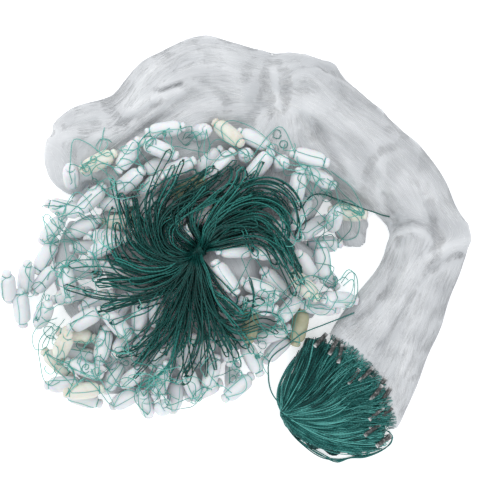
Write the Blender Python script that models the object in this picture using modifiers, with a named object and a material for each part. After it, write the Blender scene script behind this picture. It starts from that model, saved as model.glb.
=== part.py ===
# A gill net bundled for the boat, lying on the floor. The netting is one bunched hank that lies
# in an arch. Its float line is gathered at the arch's left foot, where the tied hank of line
# spreads over a heap of foam floats, and its lead line is gathered at the right foot, in a flat
# fan with lead sinkers along the rim. Metres, +Z up, origin at the bottom centre.

import math

import bmesh
import bpy
from mathutils import Matrix, Vector
from mathutils.bvhtree import BVHTree

# Driving dimensions
FLOAT_LENGTH = 0.061
FLOAT_RADIUS = 0.0115
LEAD_LENGTH = 0.029
LEAD_RADIUS = 0.0033
TWINE_RADIUS = 0.001
GAP = 0.00035
DRAPE_CLEARANCE = 0.0022
LIFT = 0.012
SHORT_SIDE_SEGMENTS = 8

# A float slips up to two seat steps along or across its heading if that lets it lie lower.
SEAT_STEP = 0.004
SEAT_COST = 0.0015
SEATS = [(side, ahead) for side in (0, 1, -1, 2, -2) for ahead in (0, 1, -1)]
SLIP_IN = 0.012
STEEPEST_LEAN = math.radians(28)

# Plan points count steps right and down from the corner of a square over the net.
PLAN_STEP = 0.0015
PLAN_MIDDLE = (238, 249)

HEAP_MIDDLE = (190, 275)
TIE = (200, 248)
TIE_RADIUS = 0.012
FAN_APEX = (281, 413)
RIM_MIDDLE = (290, 430)
RIM_RADIUS = 96 * PLAN_STEP

# Turned profile of half a float, from its middle to its end: share of the length, share of the
# radius. The third row is the groove that holds the lashing.
FLOAT_PROFILE = [(0.14, 1.00), (0.30, 0.84), (0.355, 0.46), (0.48, 0.50)]

# Bunches of the netting hank: flatness, then rows of plan x, plan y and half width in steps.
NETTING_BUNCHES = {
    "left_end": (1.00, [(82, 190, 11), (70, 175, 18), (67, 155, 20), (72, 135, 20),
                        (88, 123, 19), (108, 118, 18), (128, 112, 16)]),
    "upper_left": (1.05, [(110, 135, 18), (128, 112, 18), (141, 96, 19), (154, 80, 19),
                          (172, 66, 18), (190, 56, 17), (205, 53, 17), (225, 60, 18),
                          (248, 68, 18), (266, 78, 17), (274, 90, 12)]),
    "middle_left": (1.05, [(92, 180, 16), (90, 158, 20), (108, 140, 20), (133, 124, 20),
                           (160, 104, 20), (188, 86, 20), (218, 84, 20), (250, 92, 18),
                           (272, 102, 12)]),
    "inner_left": (0.95, [(108, 200, 14), (115, 180, 18), (135, 158, 20), (168, 133, 20),
                          (203, 116, 20), (235, 112, 18), (262, 112, 12)]),
    "under_left": (0.75, [(125, 215, 14), (145, 185, 19), (178, 162, 20), (212, 148, 20),
                          (245, 145, 18)]),
    "fall_left": (0.80, [(278, 92, 12), (268, 115, 18), (255, 140, 19), (240, 170, 19),
                         (225, 200, 19)]),
    "fall_middle": (0.85, [(282, 95, 12), (285, 120, 19), (285, 145, 20), (275, 175, 20),
                           (260, 205, 20)]),
    "fall_right": (0.80, [(288, 98, 12), (303, 120, 19), (316, 142, 20), (318, 165, 20),
                          (308, 190, 19), (296, 218, 16)]),
    "outer_right": (1.05, [(262, 76, 12), (285, 74, 17), (310, 78, 19), (330, 92, 20),
                           (350, 110, 20), (370, 126, 20), (388, 142, 20), (404, 158, 20),
                           (418, 174, 19), (429, 190, 18), (438, 210, 18), (448, 228, 19),
                           (450, 242, 19), (445, 258, 19), (438, 275, 19), (431, 292, 19),
                           (427, 306, 19), (422, 320, 19), (416, 335, 18), (411, 350, 17),
                           (407, 365, 16), (402, 380, 15), (397, 395, 14), (391, 410, 13),
                           (385, 425, 12)]),
    "middle_right": (1.05, [(285, 100, 12), (310, 108, 19), (335, 124, 20), (356, 142, 20),
                            (378, 162, 20), (396, 184, 20), (410, 208, 20), (419, 234, 20),
                            (416, 256, 20), (408, 280, 20), (398, 302, 19), (388, 320, 18),
                            (378, 338, 16), (368, 355, 14), (362, 366, 12)]),
    "inner_right": (0.90, [(300, 135, 14), (325, 152, 20), (350, 168, 20), (370, 186, 17),
                           (387, 206, 15), (401, 225, 14), (402, 245, 15), (396, 265, 16),
                           (386, 283, 17), (374, 299, 18), (361, 314, 17), (348, 330, 15),
                           (336, 343, 12)]),
    "rim_outer": (1.00, [(405, 315, 18), (400, 332, 18), (393, 350, 16), (385, 372, 14),
                         (378, 392, 12)]),
    "rim_inner": (1.00, [(382, 305, 18), (372, 325, 17), (362, 340, 15), (350, 353, 13)]),
    "flap": (0.40, [(335, 185, 14), (345, 200, 16), (352, 217, 16), (354, 233, 13),
                    (360, 245, 8)]),
    "mound_top": (0.70, [(108, 208, 15), (145, 188, 19), (185, 180, 20), (225, 184, 20),
                         (262, 188, 18)]),
    "mound_core": (0.80, [(140, 215, 20), (180, 211, 23), (225, 213, 23), (268, 215, 18)]),
    "mound_left": (0.75, [(105, 215, 16), (115, 245, 20), (130, 275, 22), (150, 300, 22),
                          (172, 318, 20)]),
    "mound_middle": (0.90, [(150, 195, 20), (160, 225, 25), (175, 258, 27), (195, 290, 27),
                            (215, 315, 22)]),
    "mound_right": (0.90, [(215, 190, 22), (220, 220, 26), (230, 252, 27), (240, 280, 26),
                           (245, 305, 20)]),
    "mound_far_right": (0.80, [(258, 200, 20), (272, 230, 22), (283, 256, 23),
                               (295, 278, 22)]),
    "mound_west": (0.40, [(80, 222, 12), (69, 250, 13), (65, 278, 13), (76, 305, 14),
                          (98, 325, 15)]),
    "mound_corner": (0.40, [(98, 322, 14), (84, 345, 13), (84, 367, 13), (100, 382, 12),
                            (128, 385, 12)]),
    "mound_foot": (0.60, [(82, 288, 12), (93, 318, 16), (114, 350, 18), (148, 369, 18),
                          (190, 371, 18), (230, 357, 18), (264, 332, 16), (294, 300, 14)]),
    "mound_front": (0.70, [(110, 300, 18), (135, 328, 20), (175, 340, 22), (218, 332, 22),
                           (255, 305, 20)]),
}

# Locks of the lead line's fan: bearing in degrees, and where its side ends, in steps.
FAN_LOCKS = [(-56, 34), (-46, 52), (-36, 72), (-26, 92), (-15, 104), (-4, 104), (8, 104),
             (20, 104), (32, 104), (44, 104), (56, 100), (67, 88), (80, 40)]

# Locks of the float line's hank: how many, then rows of plan x, plan y and spread in steps.
HANK_GROUPS = {
    "crown": (6, [(222, 222, 6), (245, 200, 10), (272, 188, 12), (292, 205, 12),
                  (301, 226, 9)]),
    "up": (3, [(222, 218, 4), (240, 190, 10), (248, 168, 16)]),
    "right": (3, [(228, 240, 4), (262, 232, 8), (288, 250, 10), (298, 272, 11)]),
    "left_curl": (5, [(178, 262, 6), (152, 258, 12), (138, 235, 14), (130, 205, 14),
                      (130, 182, 14)]),
    "left": (3, [(178, 268, 5), (150, 283, 8), (115, 282, 12), (84, 272, 15)]),
    "down_left": (4, [(190, 285, 8), (170, 320, 16), (144, 352, 24)]),
    "down": (4, [(197, 290, 6), (190, 335, 14), (181, 378, 24)]),
    "down_right": (3, [(206, 290, 6), (220, 335, 14), (236, 368, 20)]),
    "curl": (2, [(208, 275, 4), (225, 300, 8), (252, 300, 10), (262, 282, 8)]),
}
LOCK_ROOT_RADIUS = 0.0052
LOCK_TIP_RADIUS = 0.0036

# Floats, the lowest first: plan x, plan y, heading and pitch in degrees, colour. A float whose
# pitch is None leans as the ground below its two ends does.
FLOATS = [
    (52, 281, 48, None, "white"), (44, 256, 58, 0, "white"), (56, 235, 45, 25, "white"),
    (66, 214, -15, 0, "white"), (27, 278, 80, 30, "white"), (28, 305, 94, 15, "white"),
    (16, 289, 90, 40, "white"), (94, 200, 46, None, "white"), (78, 334, -10, 0, "cream"),
    (64, 360, -40, 0, "white"), (68, 378, 3, 0, "white"), (80, 395, -17, 0, "white"),
    (127, 398, 30, 25, "white"), (147, 404, 100, 50, "white"), (174, 391, 80, 25, "white"),
    (202, 384, 25, 0, "white"), (230, 373, 88, 0, "white"), (252, 357, -63, 0, "white"),
    (277, 351, 45, 0, "olive"), (301, 329, 78, 0, "white"), (316, 311, -8, 0, "white"),
    (335, 304, -3, None, "white"), (332, 274, -48, 0, "white"), (322, 244, 3, 0, "white"),
    (347, 213, -8, None, "cream"), (317, 178, -30, None, "white"),
    (307, 165, -16, None, "white"), (255, 142, -26, None, "cream"),
    (234, 133, -40, None, "white"), (167, 132, 9, None, "white"),
    (131, 157, 55, None, "white"), (106, 167, 27, None, "cream"), (91, 230, 26, None, "white"),
    (82, 264, -10, None, "white"), (101, 305, 26, None, "white"),
    (105, 344, 77, None, "white"), (144, 311, 88, None, "white"),
    (276, 276, -48, None, "white"), (299, 267, -58, None, "white"),
    (307, 225, 35, None, "white"), (209, 159, 43, None, "white"),
    (236, 250, 0, None, "white"), (286, 302, 50, None, "white"), (190, 187, 26, None, "olive"),
    (188, 350, 70, None, "white"), (261, 282, -20, None, "white"), (161, 166, 22, None, "white"),
]

# Lead sinkers: plan x, plan y and heading in degrees.
LEADS = [(318, 341, 46), (333, 345, 61), (342, 353, 78), (353, 375, 55), (365, 373, 45),
         (375, 391, 51), (375, 412, 39), (377, 436, 36)]

# Free cords: plan x and plan y in steps, height of the middle of the cord in millimetres.
FLOAT_LINE_END = [(301, 209, 55), (305, 202, 54), (312, 196, 46), (322, 195, 40),
                  (334, 199, 34), (346, 203.5, 37), (356, 207, 42), (364, 210, 41),
                  (374, 213, 36), (381, 215.5, 32.5), (388, 217, 35)]
LEAD_LINE_TAIL = [(281, 404, 13.5), (276, 399, 9), (271.5, 392, 3.5), (269, 383, 1.4),
                  (268.3, 373, 3), (268.3, 365, 13.5), (270.5, 358, 22), (276, 352, 25),
                  (285, 345.5, 27.5), (293, 339, 35), (300, 333.5, 38.2), (307, 330, 36),
                  (315, 327, 31), (322, 324.5, 28), (331, 321, 28), (341, 317, 31.5),
                  (347, 314.5, 35.5), (353, 312, 39.2)]
CORD_POINT_SPACING = 0.005

MATERIALS = {
    "netting": ((0.80, 0.81, 0.83), 0.45, 0.0),
    "white": ((0.86, 0.87, 0.88), 0.70, 0.0),
    "cream": ((0.80, 0.77, 0.66), 0.70, 0.0),
    "olive": ((0.56, 0.54, 0.34), 0.70, 0.0),
    "float_twine": ((0.012, 0.10, 0.07), 0.45, 0.0),
    "lead_twine": ((0.02, 0.26, 0.19), 0.45, 0.0),
    "lead": ((0.30, 0.29, 0.31), 0.45, 0.8),
}


def plan(x, y, z=0.0):
    return Vector(((x - PLAN_MIDDLE[0]) * PLAN_STEP, (PLAN_MIDDLE[1] - y) * PLAN_STEP, z))


def principled(name):
    colour, roughness, metallic = MATERIALS[name]
    material = bpy.data.materials.get(name) or bpy.data.materials.new(name)
    material.use_nodes = True
    shader = material.node_tree.nodes["Principled BSDF"]
    shader.inputs["Base Color"].default_value = (*colour, 1.0)
    shader.inputs["Roughness"].default_value = roughness
    shader.inputs["Metallic"].default_value = metallic
    return material


def add_object(name, data, collection, material=None):
    made = bpy.data.objects.new(name, data)
    collection.objects.link(made)
    if material:
        data.materials.clear()
        data.materials.append(principled(material))
    return made


def smooth_rows(rows, spacing):
    """Rows of equal spacing along a Catmull-Rom curve through the given rows."""
    knots = [Vector(row) for row in rows]
    knots = [2 * knots[0] - knots[1], *knots, 2 * knots[-1] - knots[-2]]
    fine = []
    for a, b, c, d in zip(knots, knots[1:], knots[2:], knots[3:]):
        for step in range(16):
            t = step / 16
            fine.append(0.5 * (2 * b + (c - a) * t + (2 * a - 5 * b + 4 * c - d) * t * t
                               + (3 * b - a - 3 * c + d) * t ** 3))
    fine.append(knots[-2])
    ways = [0.0]
    for before, after in zip(fine, fine[1:]):
        ways.append(ways[-1] + (after - before).xyz.length)
    count = max(2, round(ways[-1] / spacing))
    even, place = [], 0
    for index in range(count + 1):
        way = ways[-1] * index / count
        while place < len(ways) - 2 and ways[place + 1] < way:
            place += 1
        share = (way - ways[place]) / max(ways[place + 1] - ways[place], 1e-9)
        even.append(fine[place].lerp(fine[place + 1], min(share, 1.0)))
    return even


def tube_mesh(name, rows, resolution, flatness=1.0):
    """A closed tube along rows of x, y, z and radius, pressed flat about its own height."""
    curve = bpy.data.curves.new(name, "CURVE")
    curve.dimensions = "3D"
    curve.bevel_depth = 1.0
    curve.bevel_resolution = resolution
    curve.use_fill_caps = True
    curve.twist_mode = "Z_UP"
    spline = curve.splines.new("POLY")
    spline.points.add(len(rows) - 1)
    for point, (x, y, z, radius) in zip(spline.points, rows):
        point.co = (x, y, z / flatness, 1.0)
        point.radius = radius
    holder = bpy.data.objects.new(name, curve)
    bpy.context.scene.collection.objects.link(holder)
    bpy.context.view_layer.update()
    evaluated = holder.evaluated_get(bpy.context.evaluated_depsgraph_get())
    mesh = bpy.data.meshes.new_from_object(evaluated)
    bpy.data.objects.remove(holder)
    bpy.data.curves.remove(curve)
    built = bmesh.new()
    built.from_mesh(mesh)
    bmesh.ops.remove_doubles(built, verts=built.verts, dist=0.00001)
    bmesh.ops.scale(built, vec=(1, 1, flatness), verts=built.verts)
    bmesh.ops.recalc_face_normals(built, faces=built.faces)
    built.to_mesh(mesh)
    built.free()
    mesh.name = name
    return mesh


def wound_body(name, tubes, voxel, keep, material, collection, cutters=()):
    """One solid of the outer form of overlapping tubes: (rows, flatness) pairs.

    The skin is uneven, and the EXACT solver fails on it, so it is cut with MANIFOLD.
    """
    joined = bmesh.new()
    for index, (rows, flatness) in enumerate(tubes):
        mesh = tube_mesh(f"{name}_tube_{index}", rows, 3, flatness)
        joined.from_mesh(mesh)
        bpy.data.meshes.remove(mesh)
    mesh = bpy.data.meshes.new(name)
    joined.to_mesh(mesh)
    joined.free()
    body = add_object(name, mesh, collection, material)
    remesh = body.modifiers.new("skin", "REMESH")
    remesh.mode = "VOXEL"
    remesh.voxel_size = voxel
    smooth = body.modifiers.new("smooth", "SMOOTH")
    smooth.factor = 0.5
    smooth.iterations = 3
    decimate = body.modifiers.new("decimate", "DECIMATE")
    decimate.ratio = keep
    for cutter, operation in cutters:
        cut = body.modifiers.new(cutter.name, "BOOLEAN")
        cut.operation = operation
        cut.solver = "MANIFOLD"
        cut.object = cutter
    return body


def cutter(name, collection):
    made = bpy.context.active_object
    made.name = name
    for owner in list(made.users_collection):
        owner.objects.unlink(made)
    collection.objects.link(made)
    made.hide_render = True
    made.display_type = "WIRE"
    return made


def make_cutters(collection):
    bpy.ops.mesh.primitive_cube_add(size=2, location=(0, 0, -1))
    below = cutter("below_floor", collection)
    bpy.ops.mesh.primitive_cylinder_add(vertices=64, radius=RIM_RADIUS + GAP, depth=1,
                                        location=plan(*RIM_MIDDLE))
    outside = cutter("netting_rim", collection)
    bpy.ops.mesh.primitive_cylinder_add(vertices=64, radius=RIM_RADIUS, depth=1,
                                        location=plan(*RIM_MIDDLE))
    inside = cutter("fan_rim", collection)
    return below, outside, inside


def make_netting(collection, below, rim):
    tubes = []
    for flatness, bunch in NETTING_BUNCHES.values():
        rows = []
        for x, y, half_width in bunch:
            radius = half_width * PLAN_STEP
            rows.append((*plan(x, y, 0.8 * radius * flatness), radius))
        tubes.append((smooth_rows(rows, 0.012), flatness))
    return wound_body("netting", tubes, 0.006, 0.076, "netting", collection,
                      [(below, "DIFFERENCE"), (rim, "DIFFERENCE")])


def make_fan(collection, below, rim):
    tubes = []
    for bearing, reach in FAN_LOCKS:
        rows = []
        for share in (0.0, 0.15, 0.4, 0.7, 0.9, 1.0):
            way = share * reach
            angle = math.radians(bearing)
            x = FAN_APEX[0] + 3 + way * math.cos(angle)
            y = FAN_APEX[1] - way * math.sin(angle)
            radius = PLAN_STEP * (5 + 0.10 * way) * (0.5 if share == 1.0 else 1.0)
            rows.append((*plan(x, y, 0.6 * radius), radius))
        tubes.append((smooth_rows(rows, 0.008), 1.0))
    return wound_body("lead_line", tubes, 0.003, 0.07, "lead_twine", collection,
                      [(below, "DIFFERENCE"), (rim, "INTERSECT")])


def turned_mesh(name, profile, length, radius, sides):
    """A closed turned body along X: a profile of half its length, mirrored."""
    half = [(share * length, part * radius) for share, part in profile]
    outline = [(-x, r) for x, r in reversed(half)] + half
    points = [(x, 0.0, r) for x, r in outline]
    mesh = bpy.data.meshes.new(name)
    edges = [(index, index + 1) for index in range(len(points) - 1)]
    mesh.from_pydata(points, edges, [])
    holder = bpy.data.objects.new(name, mesh)
    bpy.context.scene.collection.objects.link(holder)
    screw = holder.modifiers.new("turn", "SCREW")
    screw.axis = "X"
    screw.steps = sides
    screw.render_steps = sides
    screw.use_merge_vertices = True
    screw.merge_threshold = 0.00001
    bpy.context.view_layer.update()
    evaluated = holder.evaluated_get(bpy.context.evaluated_depsgraph_get())
    turned = bpy.data.meshes.new_from_object(evaluated)
    bpy.data.objects.remove(holder)
    bpy.data.meshes.remove(mesh)
    built = bmesh.new()
    built.from_mesh(turned)
    bmesh.ops.remove_doubles(built, verts=built.verts, dist=0.00001)
    bmesh.ops.holes_fill(built, edges=built.edges, sides=sides)
    bmesh.ops.recalc_face_normals(built, faces=built.faces)
    built.to_mesh(turned)
    built.free()
    turned.name = name
    turned.shade_smooth()
    turned.set_sharp_from_angle(angle=math.radians(50))
    return turned


class Heap:
    """The solids laid so far, for laying the next one down on them."""

    def __init__(self):
        self.trees = []

    def add(self, solid):
        bpy.context.view_layer.update()
        evaluated = solid.evaluated_get(bpy.context.evaluated_depsgraph_get())
        mesh = evaluated.to_mesh()
        mesh.calc_loop_triangles()
        points = [solid.matrix_world @ vertex.co for vertex in mesh.vertices]
        faces = [tuple(face.vertices) for face in mesh.loop_triangles]
        evaluated.to_mesh_clear()
        self.trees.append((BVHTree.FromPolygons(points, faces), *box_of(points)))

    def ceiling(self):
        return max(high[2] for _, _, high in self.trees)

    def top(self, x, y):
        """The height of the highest surface at a point of the plan, or the floor's."""
        found = 0.0
        for tree, low, high in self.trees:
            if low[0] <= x <= high[0] and low[1] <= y <= high[1]:
                hit = tree.ray_cast(Vector((x, y, 1.0)), Vector((0, 0, -1)))[0]
                if hit:
                    found = max(found, hit.z)
        return found

    def top_around(self, x, y, radius):
        spots = [(0, 0)] + [(math.cos(k * math.pi / 4), math.sin(k * math.pi / 4))
                            for k in range(8)]
        return max(self.top(x + radius * u, y + radius * v) for u, v in spots)

    def is_clear(self, points, faces):
        low, high = box_of(points)
        if low[2] < 0:
            return False
        tree = BVHTree.FromPolygons(points, faces)
        for other, other_low, other_high in self.trees:
            apart = any(low[k] > other_high[k] or high[k] < other_low[k] for k in range(3))
            if not apart and tree.overlap(other):
                return False
        return True


def box_of(points):
    low = [min(point[k] for point in points) for k in range(3)]
    high = [max(point[k] for point in points) for k in range(3)]
    return low, high


def slide(heap, shape, place, direction, step, reach):
    """How far a shape goes from a clear place before it would touch the heap."""
    points, faces = shape

    def clear_at(way):
        moved = Matrix.Translation(direction * way) @ place
        return heap.is_clear([moved @ point for point in points], faces)

    way = 0.0
    while way < reach and clear_at(way + step):
        way += step
    for _ in range(6):
        step /= 2
        if clear_at(way + step):
            way += step
    return way


def lay_down(heap, solid, feeler, x, y, heading, pitch, reach_in):
    """Lowers a turned body onto the heap, at the lowest of the seats around its spot."""
    half = feeler[2]
    along = Vector((math.cos(heading), math.sin(heading)))
    front, back = (heap.top(x + side * half * along.x, y + side * half * along.y)
                   for side in (1, -1))
    if pitch is None:
        pitch = max(-STEEPEST_LEAN, min(STEEPEST_LEAN, math.atan2(front - back, 2 * half)))
    turn = Matrix.Rotation(heading, 4, "Z") @ Matrix.Rotation(-pitch, 4, "Y")
    start = heap.ceiling() + half
    down = Vector((0, 0, -1))
    seats = []
    for side, ahead in SEATS:
        spot = Vector((x, y, start)) + SEAT_STEP * Vector((
            ahead * along.x - side * along.y, ahead * along.y + side * along.x, 0))
        place = Matrix.Translation(spot) @ turn
        way = slide(heap, feeler[:2], place, down, 0.003, start)
        seats.append((start - way + SEAT_COST * math.hypot(side, ahead), way, place))
    _, way, place = min(seats, key=lambda seat: seat[0])
    place = Matrix.Translation(down * way) @ place
    low = min((place @ point).z for point in feeler[0])
    if low < 0.0005:
        place = Matrix.Translation((0, 0, 0.0002)) @ place
        inward = plan(*reach_in) - place.translation
        inward.z = 0
        inward.normalize()
        way = slide(heap, feeler[:2], place, inward, 0.001, SLIP_IN)
        place = Matrix.Translation(inward * way) @ place
    solid.matrix_world = place
    heap.add(solid)


def feeler_of(mesh, length, radius):
    """The mesh grown by the gap, with half its length."""
    grow_along, grow_across = 1 + 2 * GAP / length, 1 + 2 * GAP / radius
    points = [Vector((v.co.x * grow_along, v.co.y * grow_across, v.co.z * grow_across))
              for v in mesh.vertices]
    return points, [tuple(face.vertices) for face in mesh.polygons], 0.35 * length


def make_floats(collection, heap):
    meshes = {}
    for index, (x, y, heading, pitch, colour) in enumerate(FLOATS, 1):
        if colour not in meshes:
            meshes[colour] = turned_mesh(f"float_{colour}", FLOAT_PROFILE, FLOAT_LENGTH,
                                         FLOAT_RADIUS, SHORT_SIDE_SEGMENTS)
            meshes[colour].materials.append(principled(colour))
        solid = add_object(f"float_{index:02d}", meshes[colour], collection)
        spot = plan(x, y)
        lay_down(heap, solid, feeler_of(meshes[colour], FLOAT_LENGTH, FLOAT_RADIUS),
                 spot.x, spot.y, math.radians(heading),
                 None if pitch is None else math.radians(pitch), HEAP_MIDDLE)


def make_leads(collection, heap):
    mesh = turned_mesh("lead", [(0.44, 1.0), (0.5, 0.7)], LEAD_LENGTH, LEAD_RADIUS, 8)
    mesh.materials.append(principled("lead"))
    feeler = feeler_of(mesh, LEAD_LENGTH, LEAD_RADIUS)
    for index, (x, y, heading) in enumerate(LEADS, 1):
        solid = add_object(f"lead_{index:02d}", mesh, collection)
        spot = plan(x, y)
        lay_down(heap, solid, feeler, spot.x, spot.y, math.radians(heading), None, FAN_APEX)


def drape(heap, route, radii, clearance):
    """Lays a line of plan points over the heap like a slack string, as x, y, z, radius."""
    lowest = [heap.top_around(point.x, point.y, 1.6 * radius) + radius + clearance
              for point, radius in zip(route, radii)]
    heights = list(lowest)
    for _ in range(60):
        for index in range(1, len(heights) - 1):
            middle = (heights[index - 1] + heights[index + 1]) / 2
            heights[index] = max(lowest[index], 0.3 * heights[index] + 0.7 * middle)
    return [(point.x, point.y, height, radius)
            for point, height, radius in zip(route, heights, radii)]


def make_hank(collection, heap):
    spot = plan(*TIE)
    tie_height = heap.top_around(spot.x, spot.y, TIE_RADIUS) + TIE_RADIUS
    tubes = [([(spot.x - 0.012, spot.y - 0.008, tie_height, 0.7 * TIE_RADIUS),
               (spot.x - 0.004, spot.y - 0.002, tie_height, TIE_RADIUS),
               (spot.x + 0.006, spot.y + 0.004, tie_height, TIE_RADIUS),
               (spot.x + 0.014, spot.y + 0.010, tie_height, 0.7 * TIE_RADIUS)], 1.0)]
    for count, group in HANK_GROUPS.values():
        for number in range(count):
            share = 2 * (number + 0.5) / count - 1
            rows = [(*TIE, 0.0)]
            for index, (x, y, spread) in enumerate(group):
                before = group[index - 1] if index else (*TIE, 0)
                after = group[min(index + 1, len(group) - 1)]
                across = Vector((after[1] - before[1], before[0] - after[0])).normalized()
                rows.append((x + across.x * spread * share, y + across.y * spread * share, 0))
            route = smooth_rows([plan(x, y) for x, y, _ in rows], 0.006)
            last = len(route) - 1
            radii = [LOCK_ROOT_RADIUS + (LOCK_TIP_RADIUS - LOCK_ROOT_RADIUS) * k / last
                     for k in range(last + 1)]
            lock = drape(heap, route, radii, DRAPE_CLEARANCE)
            lock[0] = (*lock[0][:2], tie_height, lock[0][3])
            tubes.append((lock, 1.0))
    return wound_body("float_line", tubes, 0.0022, 0.047, "float_twine", collection)


def make_cord(name, route, material, collection):
    rows = smooth_rows([plan(x, y, height / 1000) for x, y, height in route],
                       CORD_POINT_SPACING)
    curve = bpy.data.curves.new(name, "CURVE")
    curve.dimensions = "3D"
    curve.bevel_depth = TWINE_RADIUS
    curve.bevel_resolution = 2
    curve.use_fill_caps = True
    spline = curve.splines.new("POLY")
    spline.points.add(len(rows) - 1)
    for point, place in zip(spline.points, rows):
        point.co = (*place, 1.0)
    return add_object(name, curve, collection, material)


def lower_body(heap, body):
    """Lifts a finished body clear, then lowers it until it is within the gap of the heap."""
    bpy.context.view_layer.update()
    evaluated = body.evaluated_get(bpy.context.evaluated_depsgraph_get())
    mesh = evaluated.to_mesh()
    mesh.calc_loop_triangles()
    points = [vertex.co + vertex.normal * GAP for vertex in mesh.vertices]
    faces = [tuple(face.vertices) for face in mesh.loop_triangles]
    evaluated.to_mesh_clear()
    lifted = Matrix.Translation((0, 0, LIFT))
    way = slide(heap, (points, faces), lifted, Vector((0, 0, -1)), 0.0005, 2 * LIFT)
    body.location.z = LIFT - way
    heap.add(body)


def main():
    for thing in list(bpy.data.objects):
        bpy.data.objects.remove(thing)
    parts = bpy.data.collections.new("fishing_net")
    cutters = bpy.data.collections.new("cutters")
    for collection in (parts, cutters):
        bpy.context.scene.collection.children.link(collection)
    below, outside_rim, inside_rim = make_cutters(cutters)
    heap = Heap()
    heap.add(make_netting(parts, below, outside_rim))
    heap.add(make_fan(parts, below, inside_rim))
    make_floats(parts, heap)
    lower_body(heap, make_hank(parts, heap))
    make_leads(parts, heap)
    make_cord("float_line_end", FLOAT_LINE_END, "float_twine", parts)
    make_cord("lead_line_tail", LEAD_LINE_TAIL, "lead_twine", parts)


main()
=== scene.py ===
# A bundled gill net on a pale floor: the bunched netting, the heap of foam floats under the tied
# float line, and the fan of lead line with its sinkers.
import math
import random

import bpy
import numpy as np
from mathutils import Matrix, Vector, noise
from mathutils.bvhtree import BVHTree
from mathutils.kdtree import KDTree


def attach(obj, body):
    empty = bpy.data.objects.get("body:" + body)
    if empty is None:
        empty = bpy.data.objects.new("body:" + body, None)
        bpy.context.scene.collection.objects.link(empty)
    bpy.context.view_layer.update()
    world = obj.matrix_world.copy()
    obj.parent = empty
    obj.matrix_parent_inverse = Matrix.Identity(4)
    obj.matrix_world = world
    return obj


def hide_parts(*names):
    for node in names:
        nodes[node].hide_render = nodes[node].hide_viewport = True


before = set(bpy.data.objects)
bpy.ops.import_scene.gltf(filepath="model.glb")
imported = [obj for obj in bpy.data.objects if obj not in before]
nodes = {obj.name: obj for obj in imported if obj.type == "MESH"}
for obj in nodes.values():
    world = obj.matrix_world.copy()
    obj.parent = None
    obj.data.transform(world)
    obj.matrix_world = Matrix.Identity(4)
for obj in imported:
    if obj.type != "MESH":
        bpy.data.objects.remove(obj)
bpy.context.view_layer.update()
bpy.ops.object.select_all(action="DESELECT")
seed = 11
chance = random.Random(seed)
dice = np.random.default_rng(seed)
noise.seed_set(seed)
print("frame loaded")

planStep = 0.0015          # metres for one step of the plan
planMiddle = (238, 249)    # the plan's point over the origin


def plan(x, y, z=0.0):
    return Vector(((x - planMiddle[0]) * planStep, (planMiddle[1] - y) * planStep, z))


def newObject(name, data):
    piece = bpy.data.objects.new(name, data)
    bpy.context.scene.collection.objects.link(piece)
    return piece


# camera, lights and floor
camera = {"height": 3.2, "over": (0.018, -0.0015), "across": 0.75, "sensor": 36.0, "clip": 20}
lens = bpy.data.cameras.new("camera")
lens.sensor_width = camera["sensor"]
lens.lens = camera["sensor"] * camera["height"] / camera["across"]
lens.clip_end = camera["clip"]
eye = newObject("camera", lens)
eye.location = (*camera["over"], camera["height"])
bpy.context.scene.camera = eye

studio = {
    "lamps": {     # place, size, power and tint
        "key": ((-1.0, 1.5, 1.9), 1.2, 22, (1.0, 0.995, 0.985)),
        "fill": ((1.8, -0.6, 1.7), 1.6, 10, (0.97, 0.985, 1.0)),
        "rear": ((-0.7, -1.9, 1.5), 1.4, 7, (0.98, 0.99, 1.0))},
    "air": (0.97, 0.985, 1.0, 1), "strength": 0.83, "floor": 12, "floor level": -0.0005,
}
for name, (place, size, power, tint) in studio["lamps"].items():
    lamp = bpy.data.lights.new(name, "AREA")
    lamp.size, lamp.energy, lamp.color = size, power, tint
    holder = newObject(name, lamp)
    holder.location = place
    holder.rotation_euler = (-Vector(place)).to_track_quat("-Z", "Y").to_euler()
world = bpy.data.worlds.new("studio")
world.use_nodes = True
air = world.node_tree.nodes["Background"].inputs
air["Color"].default_value = studio["air"]
air["Strength"].default_value = studio["strength"]
bpy.context.scene.world = world
bpy.context.scene.view_settings.view_transform = "Standard"


# materials
def newMaterial(name, **sockets):
    material = bpy.data.materials.new(name)
    material.use_nodes = True
    shader = material.node_tree.nodes["Principled BSDF"]
    for socket, value in sockets.items():
        shader.inputs[socket.replace("_", " ")].default_value = value
    return material, material.node_tree, shader


def addNode(tree, kind, links=(), **settings):
    node = tree.nodes.new(kind)
    for key, value in settings.items():
        setattr(node, key, value)
    for socket, source in dict(links).items():
        if isinstance(source, bpy.types.NodeSocket):
            tree.links.new(source, node.inputs[socket])
        else:
            node.inputs[socket].default_value = source
    return node


def readTone(tree):
    return addNode(tree, "ShaderNodeAttribute", attribute_name="tone").outputs["Fac"]


def readLength(tree):
    return addNode(tree, "ShaderNodeUVMap", uv_map="length").outputs["UV"]


def readPlace(tree):
    return addNode(tree, "ShaderNodeTexCoord").outputs["Object"]


def addScale(tree, vector, scale):
    lay = addNode(tree, "ShaderNodeMapping", {"Vector": vector, "Scale": scale})
    return lay.outputs["Vector"]


def addNoise(tree, vector, scale, detail, roughness=0.5):
    return addNode(tree, "ShaderNodeTexNoise", {
        "Vector": vector, "Scale": scale, "Detail": detail,
        "Roughness": roughness}).outputs["Fac"]


def addSum(tree, value, share, rest):
    # a share of a value on top of the rest
    return addNode(tree, "ShaderNodeMath", {0: value, 1: share, 2: rest},
                   operation="MULTIPLY_ADD").outputs[0]


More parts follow.
